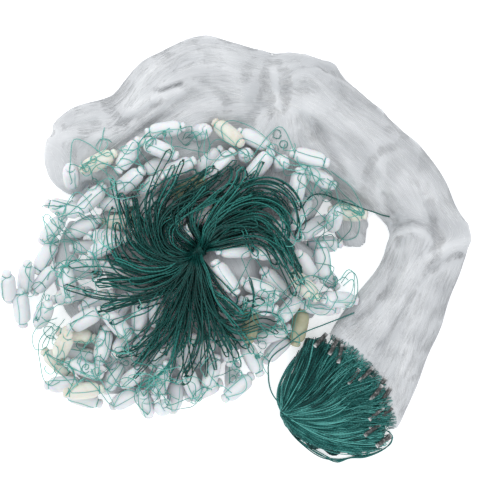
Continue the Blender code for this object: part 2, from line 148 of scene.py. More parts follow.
def paint(tree, shader, factor, stops, *sockets):
    ramp = addNode(tree, "ShaderNodeValToRGB", {"Fac": factor})
    while len(ramp.color_ramp.elements) < len(stops):
        ramp.color_ramp.elements.new(0.5)
    for element, (place, colour) in zip(ramp.color_ramp.elements, stops):
        element.position = place
        element.color = (*colour, 1)
    for socket in ("Base Color", *sockets):
        tree.links.new(ramp.outputs["Color"], shader.inputs[socket])


def addBump(tree, shader, height, distance, strength):
    bump = addNode(tree, "ShaderNodeBump", {"Height": height, "Distance": distance,
                                            "Strength": strength})
    tree.links.new(bump.outputs["Normal"], shader.inputs["Normal"])


# A twine's own UV map runs once round it and in metres along it. "tone" is its shade, 0 to 1.
def twineMaterial(name, dark, middle, light, pitch, roughness, specular):
    material, tree, shader = newMaterial(name, Roughness=roughness,
                                         Specular_IOR_Level=specular)
    length = readLength(tree)
    strands = addNode(tree, "ShaderNodeTexWave", {
        "Vector": addScale(tree, length, (1.0, 1.0 / pitch, 1.0)), "Scale": 0.318,
        "Distortion": 0.6, "Detail": 1.0}, bands_direction="DIAGONAL").outputs["Fac"]
    patches = addNoise(tree, addScale(tree, length, (2.0, 60.0, 1.0)), 1.0, 3.0)
    weave = addNode(tree, "ShaderNodeMath", {0: strands, 1: 0.16}, operation="MULTIPLY")
    worn = addSum(tree, patches, 0.25, weave.outputs[0])
    paint(tree, shader, addSum(tree, readTone(tree), 0.75, worn),
          [(0.1, dark), (0.5, middle), (0.95, light)])
    addBump(tree, shader, strands, 0.0003, 0.6)
    return material


floatTwine = twineMaterial("floatTwine", (0.001, 0.016, 0.015), (0.006, 0.075, 0.066),
                           (0.035, 0.26, 0.225), 0.0026, 0.42, 0.28)
leadTwine = twineMaterial("leadTwine", (0.001, 0.022, 0.022), (0.009, 0.130, 0.119),
                          (0.13, 0.47, 0.43), 0.0022, 0.4, 0.3)
lashingTwine = twineMaterial("lashingTwine", (0.02, 0.20, 0.17), (0.08, 0.40, 0.35),
                             (0.26, 0.68, 0.60), 0.0014, 0.4, 0.4)


def nettingMaterial(name, dark, light, roughness, skin, scale, **sockets):
    # the streaks follow the skin's "flow", or run along a thread's own UV map
    material, tree, shader = newMaterial(name, Roughness=roughness, **sockets)
    flow = (addNode(tree, "ShaderNodeAttribute", attribute_name="flow").outputs["Vector"]
            if skin else readLength(tree))
    hairs = addNoise(tree, addScale(tree, flow, scale), 1.0, 4.0, 0.7)
    paint(tree, shader, addSum(tree, hairs, 0.4, readTone(tree)), [(0.1, dark), (1.0, light)])
    addBump(tree, shader, hairs, 0.00012, 0.5)
    return material


nettingCloth = nettingMaterial("nettingCloth", (0.42, 0.435, 0.455), (0.74, 0.755, 0.775), 0.5,
                               True, (14.0, 330.0, 1.0), Sheen_Weight=0.3, Sheen_Roughness=0.4)
# the yarn is lighter than the cloth: a painted highlight along the fibres
nettingYarn = nettingMaterial("nettingYarn", (0.54, 0.555, 0.575), (0.92, 0.93, 0.94), 0.38,
                              False, (15.0, 13.0, 1.0), Specular_IOR_Level=0.55)


def foamMaterial(name, clean, stained, stainShare):
    material, tree, shader = newMaterial(name, Roughness=0.62, Specular_IOR_Level=0.35,
                                         Subsurface_Weight=0.3, Subsurface_Scale=0.006)
    place = readPlace(tree)
    cells = addNode(tree, "ShaderNodeTexVoronoi", {"Vector": place, "Scale": 620.0})
    paint(tree, shader, addNoise(tree, place, 34.0, 4.0, 0.6),
          [(0.30, stained), (0.30 + stainShare, clean), (0.85, clean)])
    addBump(tree, shader, cells.outputs["Distance"], 0.00025, 0.35)
    return material


foams = {
    "white": foamMaterial("whiteFoam", (0.74, 0.762, 0.785), (0.66, 0.685, 0.71), 0.18),
    "cream": foamMaterial("creamFoam", (0.73, 0.725, 0.66), (0.62, 0.59, 0.48), 0.22),
    "olive": foamMaterial("oliveFoam", (0.48, 0.485, 0.36), (0.37, 0.35, 0.21), 0.30),
}


def leadMaterial():
    material, tree, shader = newMaterial("sinkerLead", Metallic=0.35, Roughness=0.42)
    dents = addNoise(tree, readPlace(tree), 260.0, 4.0)
    paint(tree, shader, addSum(tree, dents, 0.8, readTone(tree)), [
        (0.1, (0.014, 0.016, 0.016)), (0.45, (0.05, 0.053, 0.052)), (1.0, (0.74, 0.74, 0.74))])
    addBump(tree, shader, dents, 0.0004, 0.5)
    return material


def floorMaterial():
    material, tree, shader = newMaterial("paleFloor", Roughness=0.9, Emission_Strength=0.42)
    paint(tree, shader, addNoise(tree, readPlace(tree), 40.0, 2.0),
          [(0.3, (0.93, 0.935, 0.94)), (0.7, (0.95, 0.955, 0.96))], "Emission Color")
    return material


sinkerLead = leadMaterial()
bpy.ops.mesh.primitive_plane_add(size=studio["floor"], location=(0, 0, studio["floor level"]))
floor = bpy.context.active_object
floor.name = "floor"
floor.data.materials.append(floorMaterial())
floor.select_set(False)


# reading and changing meshes
def pointsOf(mesh, what="co"):
    places = np.empty(len(mesh.vertices) * 3, np.float32)
    mesh.vertices.foreach_get(what, places)
    return places.reshape(-1, 3).astype(float)


def movePoints(mesh, spots):
    mesh.vertices.foreach_set("co", spots.astype(np.float32).ravel())
    mesh.update()


def addTone(mesh, values):
    mesh.attributes.new("tone", "FLOAT", "POINT").data.foreach_set("value", values)


def treeOf(*meshes):
    points, faces = [], []
    for mesh in meshes:
        start = len(points)
        mesh.calc_loop_triangles()
        points += [v.co for v in mesh.vertices]
        faces += [tuple(start + v for v in t.vertices) for t in mesh.loop_triangles]
    return BVHTree.FromPolygons(points, faces)


def topAt(tree, x, y, above=1.0):
    hit = tree.ray_cast(Vector((x, y, above)), Vector((0, 0, -1)))[0]
    return hit.z if hit else 0.0


def applyModifier(piece, kind, **settings):
    modifier = piece.modifiers.new(kind, kind)
    for key, value in settings.items():
        setattr(modifier, key, value)
    bpy.ops.object.modifier_apply(modifier=modifier.name)


def editAll():
    bpy.ops.object.mode_set(mode="EDIT")
    bpy.ops.mesh.select_all(action="SELECT")


def joinAll(name, pieces):
    for piece in pieces:
        piece.select_set(True)
    bpy.context.view_layer.objects.active = pieces[0]
    if len(pieces) > 1:
        bpy.ops.object.join()
    pieces[0].name = name
    pieces[0].select_set(False)
    return pieces[0]


def dress(piece, material, slot, *stoodFor):
    piece.data.materials.clear()
    piece.data.materials.append(material)
    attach(piece, "root")
    if stoodFor:
        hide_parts(*stoodFor)
    return piece


# twines: swept tubes along many lines at once
def unit(rows):
    return rows / np.maximum(np.linalg.norm(rows, axis=-1, keepdims=True), 1e-12)


def runOf(lines):
    # the metres along each line, at each of its points
    steps = np.linalg.norm(np.diff(lines, axis=-2), axis=-1)
    return np.concatenate([np.zeros_like(steps[..., :1]), np.cumsum(steps, axis=-1)], axis=-1)


def smoothLine(points, count):
    # a Catmull-Rom curve through the points, cut into count even steps
    knots = np.asarray([tuple(p) for p in points], float)
    knots = np.vstack([2 * knots[0] - knots[1], knots, 2 * knots[-1] - knots[-2]])
    t = np.linspace(0, 1, 13)[:-1, None]
    fine = []
    for a, b, c, d in zip(knots, knots[1:], knots[2:], knots[3:]):
        fine.append(0.5 * (2 * b + (c - a) * t + (2 * a - 5 * b + 4 * c - d) * t * t
                           + (3 * b - a - 3 * c + d) * t ** 3))
    fine = np.vstack([*fine, knots[-2:-1]])
    ways = runOf(fine[:, :3])
    even = np.linspace(0, ways[-1], count)
    return np.stack([np.interp(even, ways, fine[:, k]) for k in range(fine.shape[1])], axis=1)


def planLine(rows, count):
    return smoothLine([plan(x, y)[:2] for x, y in rows], count)


def sweep(name, batches, sides=4):
    # one tube a twine; a batch is its lines (twines x points x 3), their radius and their tones
    points, faces, uvs, tones = [], [], [], []
    start = 0
    turn = np.arange(sides) * 2 * math.pi / sides
    u = np.arange(sides) / sides
    for lines, radius, shades in batches:
        lines = np.asarray(lines, float)
        many, long = lines.shape[:2]
        radius = np.broadcast_to(np.asarray(radius, float), (many, long))
        ahead = unit(np.gradient(lines, axis=1))
        side = np.cross(ahead[:, 0], np.tile((0.0, 0.0, 1.0), (many, 1)))
        weak = np.linalg.norm(side, axis=1) < 0.2
        side[weak] = np.cross(ahead[weak, 0], np.array((1.0, 0.0, 0.0)))
        side = unit(side)
        rings = np.empty((many, long, sides, 3))
        for k in range(long):
            side = unit(side - ahead[:, k] * np.sum(side * ahead[:, k], axis=1)[:, None])
            up = np.cross(side, ahead[:, k])
            rings[:, k] = lines[:, k, None] + radius[:, k, None, None] * (
                side[:, None] * np.cos(turn)[None, :, None]
                + up[:, None] * np.sin(turn)[None, :, None])
        rings[..., 2] = np.maximum(rings[..., 2], 0)     # the floor stops them
        index = start + np.arange(many * long * sides).reshape(many, long, sides)
        around = np.roll(index, -1, axis=2)
        walls = np.stack([index[:, :-1], around[:, :-1], around[:, 1:], index[:, 1:]], axis=-1)
        faces += walls.reshape(-1, 4).tolist()
        faces += index[:, 0, ::-1].tolist() + index[:, -1].tolist()
        ways = runOf(lines) + 0.37 * np.arange(many)[:, None]     # no two are marked alike
        flat = np.zeros((many, long - 1, sides))
        low, high = ways[:, :-1, None], ways[:, 1:, None]
        corners = np.stack([
            np.stack([flat + u + past, flat + way], -1)
            for past, way in ((0, low), (1 / sides, low), (1 / sides, high), (0, high))], axis=3)
        uvs.append(corners.reshape(-1, 2))
        for end in (0, -1):
            uvs.append(np.stack([np.zeros(many * sides), np.repeat(ways[:, end], sides)], 1))
        shades = np.broadcast_to(np.asarray(shades, float).reshape(many, -1), (many, long))
        tones.append(shades.repeat(sides, axis=1).reshape(-1))
        points.append(rings.reshape(-1, 3))
        start += many * long * sides
    mesh = bpy.data.meshes.new(name)
    mesh.from_pydata(np.vstack(points).tolist(), [], faces)
    mesh.uv_layers.new(name="length").data.foreach_set("uv", np.vstack(uvs).ravel())
    addTone(mesh, np.concatenate(tones))
    mesh.shade_smooth()
    return newObject(name, mesh)


# the two free cords
freeCords = {
    # plan x, plan y and height in millimetres along each
    "floatLineEnd": {
        "stands for": "float_line_end", "slot": "float_twine", "far end": "bare",
        "material": floatTwine,
        "route": [(301, 209, 55), (305, 202, 54), (312, 196, 46), (322, 195, 40), (334, 199, 34),
                  (346, 203.5, 37), (356, 207, 42), (364, 210, 41), (374, 213, 36),
                  (381, 215.5, 32.5), (388, 217, 35)]},
    "leadLineTail": {
        "stands for": "lead_line_tail", "slot": "lead_twine", "far end": "object",
        "material": leadTwine,
        "route": [(281, 404, 13.5), (276, 399, 9), (271.5, 392, 3.5), (269, 383, 1.4),
                  (268.3, 373, 3), (268.3, 365, 13.5), (270.5, 358, 22), (276, 352, 25),
                  (285, 345.5, 27.5), (293, 339, 35), (300, 333.5, 38.2), (307, 330, 36),
                  (315, 327, 31), (322, 324.5, 28), (331, 321, 28), (341, 317, 31.5),
                  (347, 314.5, 35.5), (353, 312, 39.2)]},
}
cordLook = {"radius": 0.001, "stride": 0.003, "tone": 0.45}


def lengthOf(line):
    return float(np.linalg.norm(np.diff(line, axis=0), axis=1).sum())


def routeOf(name):
    return [plan(x, y, height / 1000) for x, y, height in freeCords[name]["route"]]


for name, cord in freeCords.items():
    count = round(lengthOf(smoothLine(routeOf(name), 200)) / cordLook["stride"])
    line = smoothLine(routeOf(name), count)
    twine = sweep(name, [(line[None], cordLook["radius"], [cordLook["tone"]])], sides=8)
    dress(twine, cord["material"], cord["slot"], cord["stands for"])
print("camera, materials and cords made")

# netting: the hank's skin, folded along the way the netting runs
netting = {
    "voxel": 0.0028, "smoothed": 6,   # the grain of the skin, and the rounds that smooth it
    "height": 1.4,                    # of a bunch, as a share of its half width
    "lumps": 0.0022, "broad strands": 0.00045, "narrow strands": 0.0002,     # metres
    # the second value is how strongly the painted highlights and shade of the tones table change
    # the skin
    "tone": 0.27, "painted light strength": 0.48,      # the skin's tone, and how strongly the tones below change it
    # painted edge shade: how much darker the netting is painted where its skin turns away from the
    # top
    "painted edge shade": 0.24,              # how much darker it is where it turns under
    # flatness of each bunch, then plan x, plan y and half width in steps along it
    "bunches": [
        (1.0, [(82, 190, 11), (70, 175, 18), (67, 155, 20), (72, 135, 20), (88, 123, 19),
               (108, 118, 18), (128, 112, 16)]),
        (1.05, [(110, 135, 18), (128, 112, 18), (141, 96, 19), (154, 80, 19), (172, 66, 18),
                (190, 56, 17), (205, 53, 17), (225, 57, 18), (246, 62, 18), (266, 66, 17),
                (283, 68, 14)]),
        (1.05, [(92, 180, 16), (90, 158, 20), (108, 140, 20), (133, 124, 20), (160, 104, 20),
                (188, 86, 20), (218, 82, 20), (246, 86, 18), (266, 90, 16), (283, 93, 14)]),
        (0.95, [(108, 200, 14), (115, 180, 18), (135, 158, 20), (168, 133, 20), (203, 114, 20),
                (232, 108, 18), (258, 108, 16), (282, 112, 12)]),
        (0.75, [(125, 215, 14), (145, 185, 19), (178, 162, 20), (212, 148, 20), (245, 145, 18)]),
        (0.8, [(272, 122, 12), (266, 130, 18), (255, 145, 19), (240, 170, 19), (225, 200, 19)]),
        (0.85, [(286, 120, 14), (287, 130, 19), (285, 148, 20), (275, 175, 20), (260, 205, 20)]),
        (0.8, [(296, 112, 14), (305, 124, 19), (316, 142, 20), (318, 165, 20), (308, 190, 19),
               (296, 218, 16)]),
        (1.05, [(290, 70, 14), (300, 74, 17), (312, 80, 19), (330, 92, 20), (350, 110, 20),
                (370, 126, 20), (388, 142, 20), (404, 158, 20), (418, 174, 19), (429, 190, 18),
                (438, 210, 18), (448, 228, 19), (450, 242, 19), (445, 258, 19), (438, 275, 19),
                (431, 292, 19), (427, 306, 19), (422, 320, 19), (416, 335, 18), (411, 350, 17),
                (407, 365, 16), (402, 380, 15), (397, 395, 14), (391, 410, 13), (385, 425, 12)]),
        (1.05, [(290, 94, 14), (310, 106, 19), (335, 124, 20), (356, 142, 20), (378, 162, 20),
                (396, 184, 20), (410, 208, 20), (419, 234, 20), (416, 256, 20), (408, 280, 20),
                (398, 302, 19), (388, 320, 18), (378, 338, 16), (368, 355, 14), (362, 366, 12)]),
        (0.9, [(300, 135, 14), (325, 152, 20), (350, 168, 20), (370, 186, 17), (387, 206, 15),
               (401, 225, 14), (402, 245, 15), (396, 265, 16), (386, 283, 17), (374, 299, 18),
               (361, 314, 17), (348, 330, 15), (336, 343, 12)]),
        (0.4, [(335, 185, 14), (345, 200, 16), (352, 217, 16), (354, 233, 13), (360, 245, 8)]),
        (0.8, [(105, 215, 16), (115, 245, 20), (130, 275, 22), (150, 300, 22), (172, 318, 20)]),
        (0.9, [(150, 195, 20), (160, 225, 25), (175, 258, 27), (195, 290, 27), (215, 315, 22)]),
        (0.9, [(215, 190, 22), (220, 220, 26), (230, 252, 27), (240, 280, 26), (245, 305, 20)]),
        (0.8, [(258, 200, 20), (272, 230, 22), (283, 256, 23), (295, 278, 22)]),
        (0.6, [(82, 288, 12), (93, 318, 16), (114, 350, 18), (148, 369, 18), (190, 371, 18),
               (230, 357, 18), (264, 332, 16), (294, 300, 14)])],
    # wisps that turn the netting's run: plan x and plan y along each
    "wisps": [
        [(384, 238), (394, 229), (408, 226), (424, 230), (438, 246)],
        [(418, 266), (432, 252), (448, 244), (464, 241)],
        [(54, 138), (64, 134), (82, 132), (104, 131)],
        [(52, 146), (62, 152), (71, 165), (74, 182)],
        [(290, 74), (305, 61), (322, 59), (334, 72)]],
    # folds pressed into the skin: depth in millimetres (a ridge's is negative), half width in
    # steps, then plan x and plan y along it
    "folds": [
        (7.0, 2.2, [(158, 94), (172, 89), (186, 85)]),
        (-2.5, 4.0, [(150, 104), (170, 98), (190, 93)]),
        (4.0, 3.5, [(112, 128), (140, 118), (158, 105), (168, 96)]),
        (2.2, 6.0, [(103, 100), (112, 112), (124, 124), (134, 128)]),
        (4.5, 4.5, [(56, 130), (72, 128), (90, 126), (108, 125)]),
        (-2.0, 4.5, [(58, 142), (80, 138), (104, 137), (122, 134)]),
        (3.0, 4.0, [(120, 150), (140, 137), (165, 120), (190, 110)]),
        (1.8, 5.0, [(196, 83), (214, 90), (226, 102), (230, 116)]),
        (2.0, 5.0, [(262, 72), (262, 90), (258, 106)]),
        (-4.5, 5.0, [(272, 64), (275, 84), (278, 104), (277, 112)]),
        (2.2, 4.5, [(288, 66), (288, 84), (286, 100), (284, 114)]),
        (3.5, 3.0, [(286, 80), (300, 70), (318, 68), (336, 78)]),
        (6.0, 5.0, [(310, 122), (322, 142), (332, 160), (350, 184)]),
        (-2.5, 6.0, [(340, 118), (362, 140), (378, 162), (384, 190)]),
        (3.5, 4.0, [(330, 88), (352, 106), (376, 126), (396, 140)]),
        (1.8, 4.5, [(364, 180), (369, 163), (381, 151), (398, 149)]),
        (3.5, 3.0, [(392, 218), (385, 204), (380, 190)]),
        (5.5, 2.8, [(384, 236), (394, 227), (408, 223), (424, 227), (440, 240)]),
        (-3.0, 3.5, [(388, 244), (398, 234), (410, 231), (424, 236), (434, 248)]),
        (-2.5, 3.5, [(420, 263), (434, 251), (450, 244), (466, 241)]),
        (4.5, 3.5, [(424, 276), (438, 262), (452, 256), (466, 254)]),
        (3.5, 4.0, [(424, 196), (430, 212), (434, 226)]),
        (4.5, 3.5, [(396, 268), (384, 290), (366, 310), (346, 326)]),
        (3.5, 3.0, [(416, 284), (402, 310), (386, 336), (372, 354)]),
        (-2.0, 4.0, [(418, 312), (404, 338), (394, 360), (384, 380)]),
        (3.0, 3.0, [(434, 300), (422, 332), (410, 358), (398, 384)]),
        (3.0, 5.0, [(256, 118), (246, 136), (232, 152)]),
        (2.5, 4.0, [(298, 112), (302, 132), (304, 152)])],
    # where the netting is thinner and greyer, and painted light and shade over it: painted
    # highlights where it catches the light or lies by the floats, painted shade in creases and
    # where it turns from the light: change of tone, half width
    "tones": [
        (-0.8, 1.7, [(161, 93), (171, 90), (182, 87)]),
        (-0.5, 3, [(120, 126), (142, 118), (160, 106)]),
        (0.2, 16, [(338, 168), (350, 192), (362, 208)]), (-0.1, 13, [(350, 210), (358, 246)]),
        (-0.35, 8, [(60, 118), (78, 112), (98, 110)]),
        (-0.25, 7, [(100, 96), (118, 82), (136, 66)]),
        (0.35, 7, [(52, 130), (62, 138), (74, 142)]), (0.2, 6, [(50, 158), (60, 168), (72, 176)]),
        (-0.2, 8, [(84, 150), (100, 158), (112, 150)]),
        (0.35, 6, [(128, 106), (142, 88), (158, 64)]),
        (0.4, 6, [(138, 107), (162, 98), (188, 90)]), (0.3, 12, [(186, 62), (208, 62), (226, 68)]),
        (0.35, 6, [(198, 100), (207, 93), (214, 96)]),
        (-0.3, 8, [(192, 80), (208, 78), (224, 84)]),
        (-0.25, 8, [(200, 116), (214, 120), (224, 112)]),
        (-0.2, 9, [(150, 58), (172, 46), (196, 42)]),
        (0.3, 5, [(238, 96), (242, 108), (246, 120)]),
        (-0.2, 8, [(232, 50), (248, 52), (262, 60)]),
        (0.35, 5, [(273, 66), (277, 84), (278, 108)]), (-0.1, 4, [(261, 72), (260, 104)]),
        (-0.1, 4, [(288, 68), (286, 112)]), (-0.35, 9, [(292, 60), (316, 58), (334, 70)]),
        (0.3, 12, [(298, 92), (320, 104), (346, 118)]),
        (0.25, 7, [(350, 124), (366, 136), (384, 146)]),
        (-0.3, 8, [(340, 88), (360, 98), (378, 114)]),
        (-0.35, 9, [(350, 146), (362, 158), (366, 176)]),
        (0.3, 6, [(376, 164), (388, 158), (400, 152)]),
        (0.25, 5, [(380, 186), (387, 190), (394, 192)]),
        (0.4, 12, [(404, 178), (424, 194), (444, 210)]),
        (-0.3, 7, [(402, 146), (420, 160), (436, 180)]),
        (-0.35, 8, [(392, 216), (420, 220), (452, 226)]),
        (0.45, 5, [(388, 240), (402, 230), (420, 230)]),
        (0.25, 6, [(398, 250), (412, 242), (428, 244)]),
        (0.45, 5, [(418, 262), (442, 248), (466, 240)]),
        (-0.3, 6, [(430, 268), (446, 262), (462, 256)]),
        (-0.3, 6, [(392, 262), (388, 284), (376, 300)]),
        (0.3, 8, [(404, 270), (398, 292), (384, 312)]),
        (0.3, 7, [(420, 292), (410, 318), (396, 344)]),
        (-0.25, 8, [(440, 290), (430, 322), (414, 362)]),
        (-0.3, 6, [(384, 292), (364, 312), (348, 326)]),
        (-0.25, 6, [(400, 318), (388, 338), (376, 354)]),
        (0.3, 6, [(412, 346), (400, 370), (388, 392)]), (-0.3, 8, [(244, 118), (230, 140)]),
        (-0.35, 9, [(312, 128), (328, 156)]), (0.3, 8, [(292, 112), (300, 134), (302, 152)]),
        (0.55, 11, [(84, 190), (112, 164), (150, 144), (200, 132), (250, 136), (296, 156)]),
        (0.2, 6, [(268, 114), (262, 130)]),
        (-0.28, 24, [(318, 78), (352, 104), (392, 140), (420, 176), (444, 214)]),
        (0.18, 16, [(60, 140), (76, 160), (84, 172)]),
        (0.35, 9, [(47, 140), (47, 157), (56, 178), (72, 192)])],
    # where the hank's outline swells or draws in: millimetres outward, half width
    "swellings": [
        (8.0, 8, [(262, 58), (282, 54), (300, 53), (316, 53), (326, 57), (333, 66)]),
        (6.5, 7, [(110, 92), (128, 74), (144, 58)]), (7.0, 6, [(52, 122), (56, 112), (68, 104)]),
        (3.0, 8, [(46, 142), (48, 156), (54, 178)]), (2.0, 6, [(236, 42), (252, 50)]),
        (-3.0, 6, [(346, 78), (360, 90), (376, 102)]),
        (-5.0, 6, [(388, 116), (396, 128), (404, 134)]), (3.5, 6, [(468, 226), (470, 240)]),
        (-2.5, 6, [(456, 206), (462, 216)]), (5.0, 6, [(366, 226), (366, 244), (356, 254)]),
        (-2.5, 5, [(154, 52), (166, 46), (178, 42)]), (3.0, 5, [(386, 232), (384, 248)]),
        (11.0, 7, [(341, 218), (341, 230), (344, 242)]),
        (24.0, 12, [(300, 262), (308, 285), (300, 305)]), (-5.0, 4, [(44, 134), (54, 134)]),
        (12.0, 10, [(140, 376), (160, 384), (185, 384)])],
}


def flowGuide():
    # spots along each bunch and wisp, the way it runs there, how far along it, and its number
    spots, ways, marks = [], [], []

    def note(line, metres, number):
        spots.append(line)
        ways.append(unit(np.gradient(line, axis=0)))
        marks.append(np.stack([metres, np.full(len(line), number)], 1))

    for number, (flatness, rows) in enumerate(netting["bunches"]):
        knots = [(*plan(x, y, netting["height"] * half * planStep * flatness), half)
                 for x, y, half in rows]
        line = smoothLine(knots, 40)[:, :3]
        note(line, runOf(line), number)
    skin = treeOf(nodes["netting"].data)
    for number, rows in enumerate(netting["wisps"]):
        line = smoothLine([plan(x, y) for x, y in rows], 40)
        line[:, 2] = [topAt(skin, x, y) for x, y, _ in line]
        note(line, np.linspace(0, 0.06, 40), 20 + number)
    tree = KDTree(40 * len(spots))
    for index, spot in enumerate(np.vstack(spots)):
        tree.insert(spot, index)
    tree.balance()
    return np.vstack(spots), np.vstack(ways), np.vstack(marks), tree


guideSpots, guideWays, guideMarks, guideTree = flowGuide()


def flowAt(spot, near=9):
    # the way the netting runs at a spot, from the bunches around it
    found = guideTree.find_n(spot, near)
    lead = guideWays[found[0][1]]
    total = np.zeros(3)
    for _, index, away in found:
        way = guideWays[index]
        weight = 1 / (away + 0.006) ** 2
        total += way * weight if np.dot(way, lead) > 0 else -way * weight
    return total / max(np.linalg.norm(total), 1e-9)


def flowMarks(spots):
    # metres along and across the nearest bunch, for each spot
    marks = np.zeros((len(spots), 3))
    for row, spot in enumerate(spots):
        index = guideTree.find(spot)[1]
        way = guideWays[index]
        offset = np.asarray(spot) - guideSpots[index]
        along = guideMarks[index, 0] + float(np.dot(offset, way))
        across = offset - way * np.dot(offset, way)
        turned = math.atan2(way[0] * across[1] - way[1] * across[0], across[2] + 0.02)
        marks[row] = (along, 0.028 * turned, guideMarks[index, 1] * 0.37)
    return marks


def nearLine(spots, rows, half):
    # how near each spot is to a line of plan points, 1 on it, and the share along the line
    line = np.array([plan(x, y)[:2] for x, y in rows])
    spots = spots[:, :2]
    best = np.full(len(spots), 9.0)
    share = np.zeros(len(spots))
    for number, (a, b) in enumerate(zip(line, line[1:])):
        run = b - a
        t = np.clip(((spots - a) @ run) / (run @ run), 0, 1)
        away = np.linalg.norm(spots - (a + t[:, None] * run), axis=1)
        nearer = away < best
        best[nearer] = away[nearer]
        share[nearer] = (number + t[nearer]) / (len(line) - 1)
    return np.exp(-(best / (half * planStep)) ** 2), share


def paintedLightAndTone(spots):
    # the painted highlights and shade over the netting, from the table of tones, and its own
    # uneven tone
    change = np.zeros(len(spots))
    for amount, half, rows in netting["tones"]:
        change += netting["painted light strength"] * amount * nearLine(spots, rows, half)[0]
    return change + np.array([0.16 * noise.noise(Vector(spot) * 18)
                              + 0.14 * noise.noise(Vector(spot) * 50) for spot in spots])


def copyOfNode(name, source, voxel, rounds):
    # a merged copy of a CAD node, meshed afresh
    piece = newObject(name, nodes[source].data.copy())
    bpy.context.view_layer.objects.active = piece
    piece.select_set(True)
    editAll()
    bpy.ops.mesh.remove_doubles(threshold=0.00002)
    bpy.ops.object.mode_set(mode="OBJECT")
    applyModifier(piece, "REMESH", mode="VOXEL", voxel_size=voxel)
    applyModifier(piece, "SMOOTH", factor=0.5, iterations=rounds)
    piece.select_set(False)
    return piece


def foldNetting():
    piece = copyOfNode("nettingFolds", "netting", netting["voxel"], netting["smoothed"])
    mesh = piece.data
    spots, ways = pointsOf(mesh), pointsOf(mesh, "normal")
    marks = flowMarks(spots)
    sink = np.zeros(len(spots))
    for depth, half, rows in netting["folds"]:
        near, share = nearLine(spots, rows, half)
        fade = np.clip(np.sin(np.clip(share, 0.04, 0.96) * math.pi) * 1.8, 0, 1)
        sink += depth / 1000 * near * fade
    sink *= np.clip(ways[:, 2] * 1.6, 0.2, 1)
    lumps = np.array([noise.noise(Vector(spot) * 26) for spot in spots])
    sink += netting["lumps"] * lumps
    aside = unit(ways * (1, 1, 0) + (0, 0, 1e-6))
    swell = np.zeros(len(spots))
    for grow, half, rows in netting["swellings"]:
        swell += grow / 1000 * nearLine(spots, rows, half)[0]
    spots += aside * (swell * np.clip(1.3 * (1 - np.abs(ways[:, 2])), 0, 1))[:, None]
    for row, (along, across, bunch) in enumerate(marks):
        broad = noise.noise((along * 7, across * 95, bunch * 9))
        narrow = noise.noise((along * 14, across * 260, bunch * 9 + 4))
        sink[row] += netting["broad strands"] * broad + netting["narrow strands"] * narrow
    spots -= ways * sink[:, None]
    spots[:, 2] = np.maximum(spots[:, 2], 0.0)
    movePoints(mesh, spots)
    # painted shade and highlight: darker where the folds sink in, lighter on their ridges, on top
    # of the painted light and shade of the tones
    shade = netting["tone"] + paintedLightAndTone(spots) - 9 * np.clip(sink, -0.003, 0.008)
    # painted shade: darker where the skin turns away from the top
    shade -= netting["painted edge shade"] * np.clip(1 - ways[:, 2], 0, 1) ** 2
    addTone(mesh, shade)
    flow = mesh.attributes.new("flow", "FLOAT_VECTOR", "POINT")
    flow.data.foreach_set("vector", marks.ravel())
    mesh.shade_smooth()
    return dress(piece, nettingCloth, "netting", "netting")


nettingFolds = foldNetting()
nettingTree = treeOf(nettingFolds.data)
print("netting folded:", len(nettingFolds.data.polygons), "faces")

# the threads' tone lies above the skin's: a painted highlight along the fibres
threads = {"count": 930, "radius": 0.00022, "lift": 0.0004, "wander": 0.5, "stride": 0.009,
           "steps each way": 8, "ends": (0.12, 0.7), "tone": 0.34, "uneven": 0.34,
           # few of them where the floats hide the netting
           "heap": (190, 290), "heap radius": 0.135, "left in the heap": 6}


def combThreads(seeds):
    # threads laid along the skin, each from its seed both ways
    count = threads["steps each way"]
    lines = np.zeros((len(seeds), 2 * count + 1, 3))
    normals = np.zeros_like(lines)
    for row, (spot, way) in enumerate(seeds):
        bend = threads["wander"] * (dice.random() - 0.5)
        height = threads["lift"] * dice.random() ** 2
        for sense in (1, -1):
            here, ahead = Vector(spot), np.asarray(way) * sense
            for step in range(1, count + 1):
                run = flowAt(here, 7)
                if np.dot(run, ahead) < 0:
                    run = -run
                swing = 0.35 * noise.noise(here * 30) + bend * sense
                run = run + swing * np.array((-run[1], run[0], 0))
                ahead = 0.45 * ahead + 0.55 * run
                ahead /= np.linalg.norm(ahead)
                here, normal, _, _ = nettingTree.find_nearest(
                    here + Vector(ahead) * threads["stride"])
                lines[row, count + sense * step] = here + normal * height
                normals[row, count + sense * step] = normal
        _, normal, _, _ = nettingTree.find_nearest(Vector(spot))
        lines[row, count] = Vector(spot) + normal * height
        normals[row, count] = normal
    for rows in (lines, normals):
        rows[:, 1:-1] = 0.25 * rows[:, :-2] + 0.5 * rows[:, 1:-1] + 0.25 * rows[:, 2:]
    lines[:, :, 2] = np.maximum(lines[:, :, 2], threads["radius"])
    return lines, unit(normals)


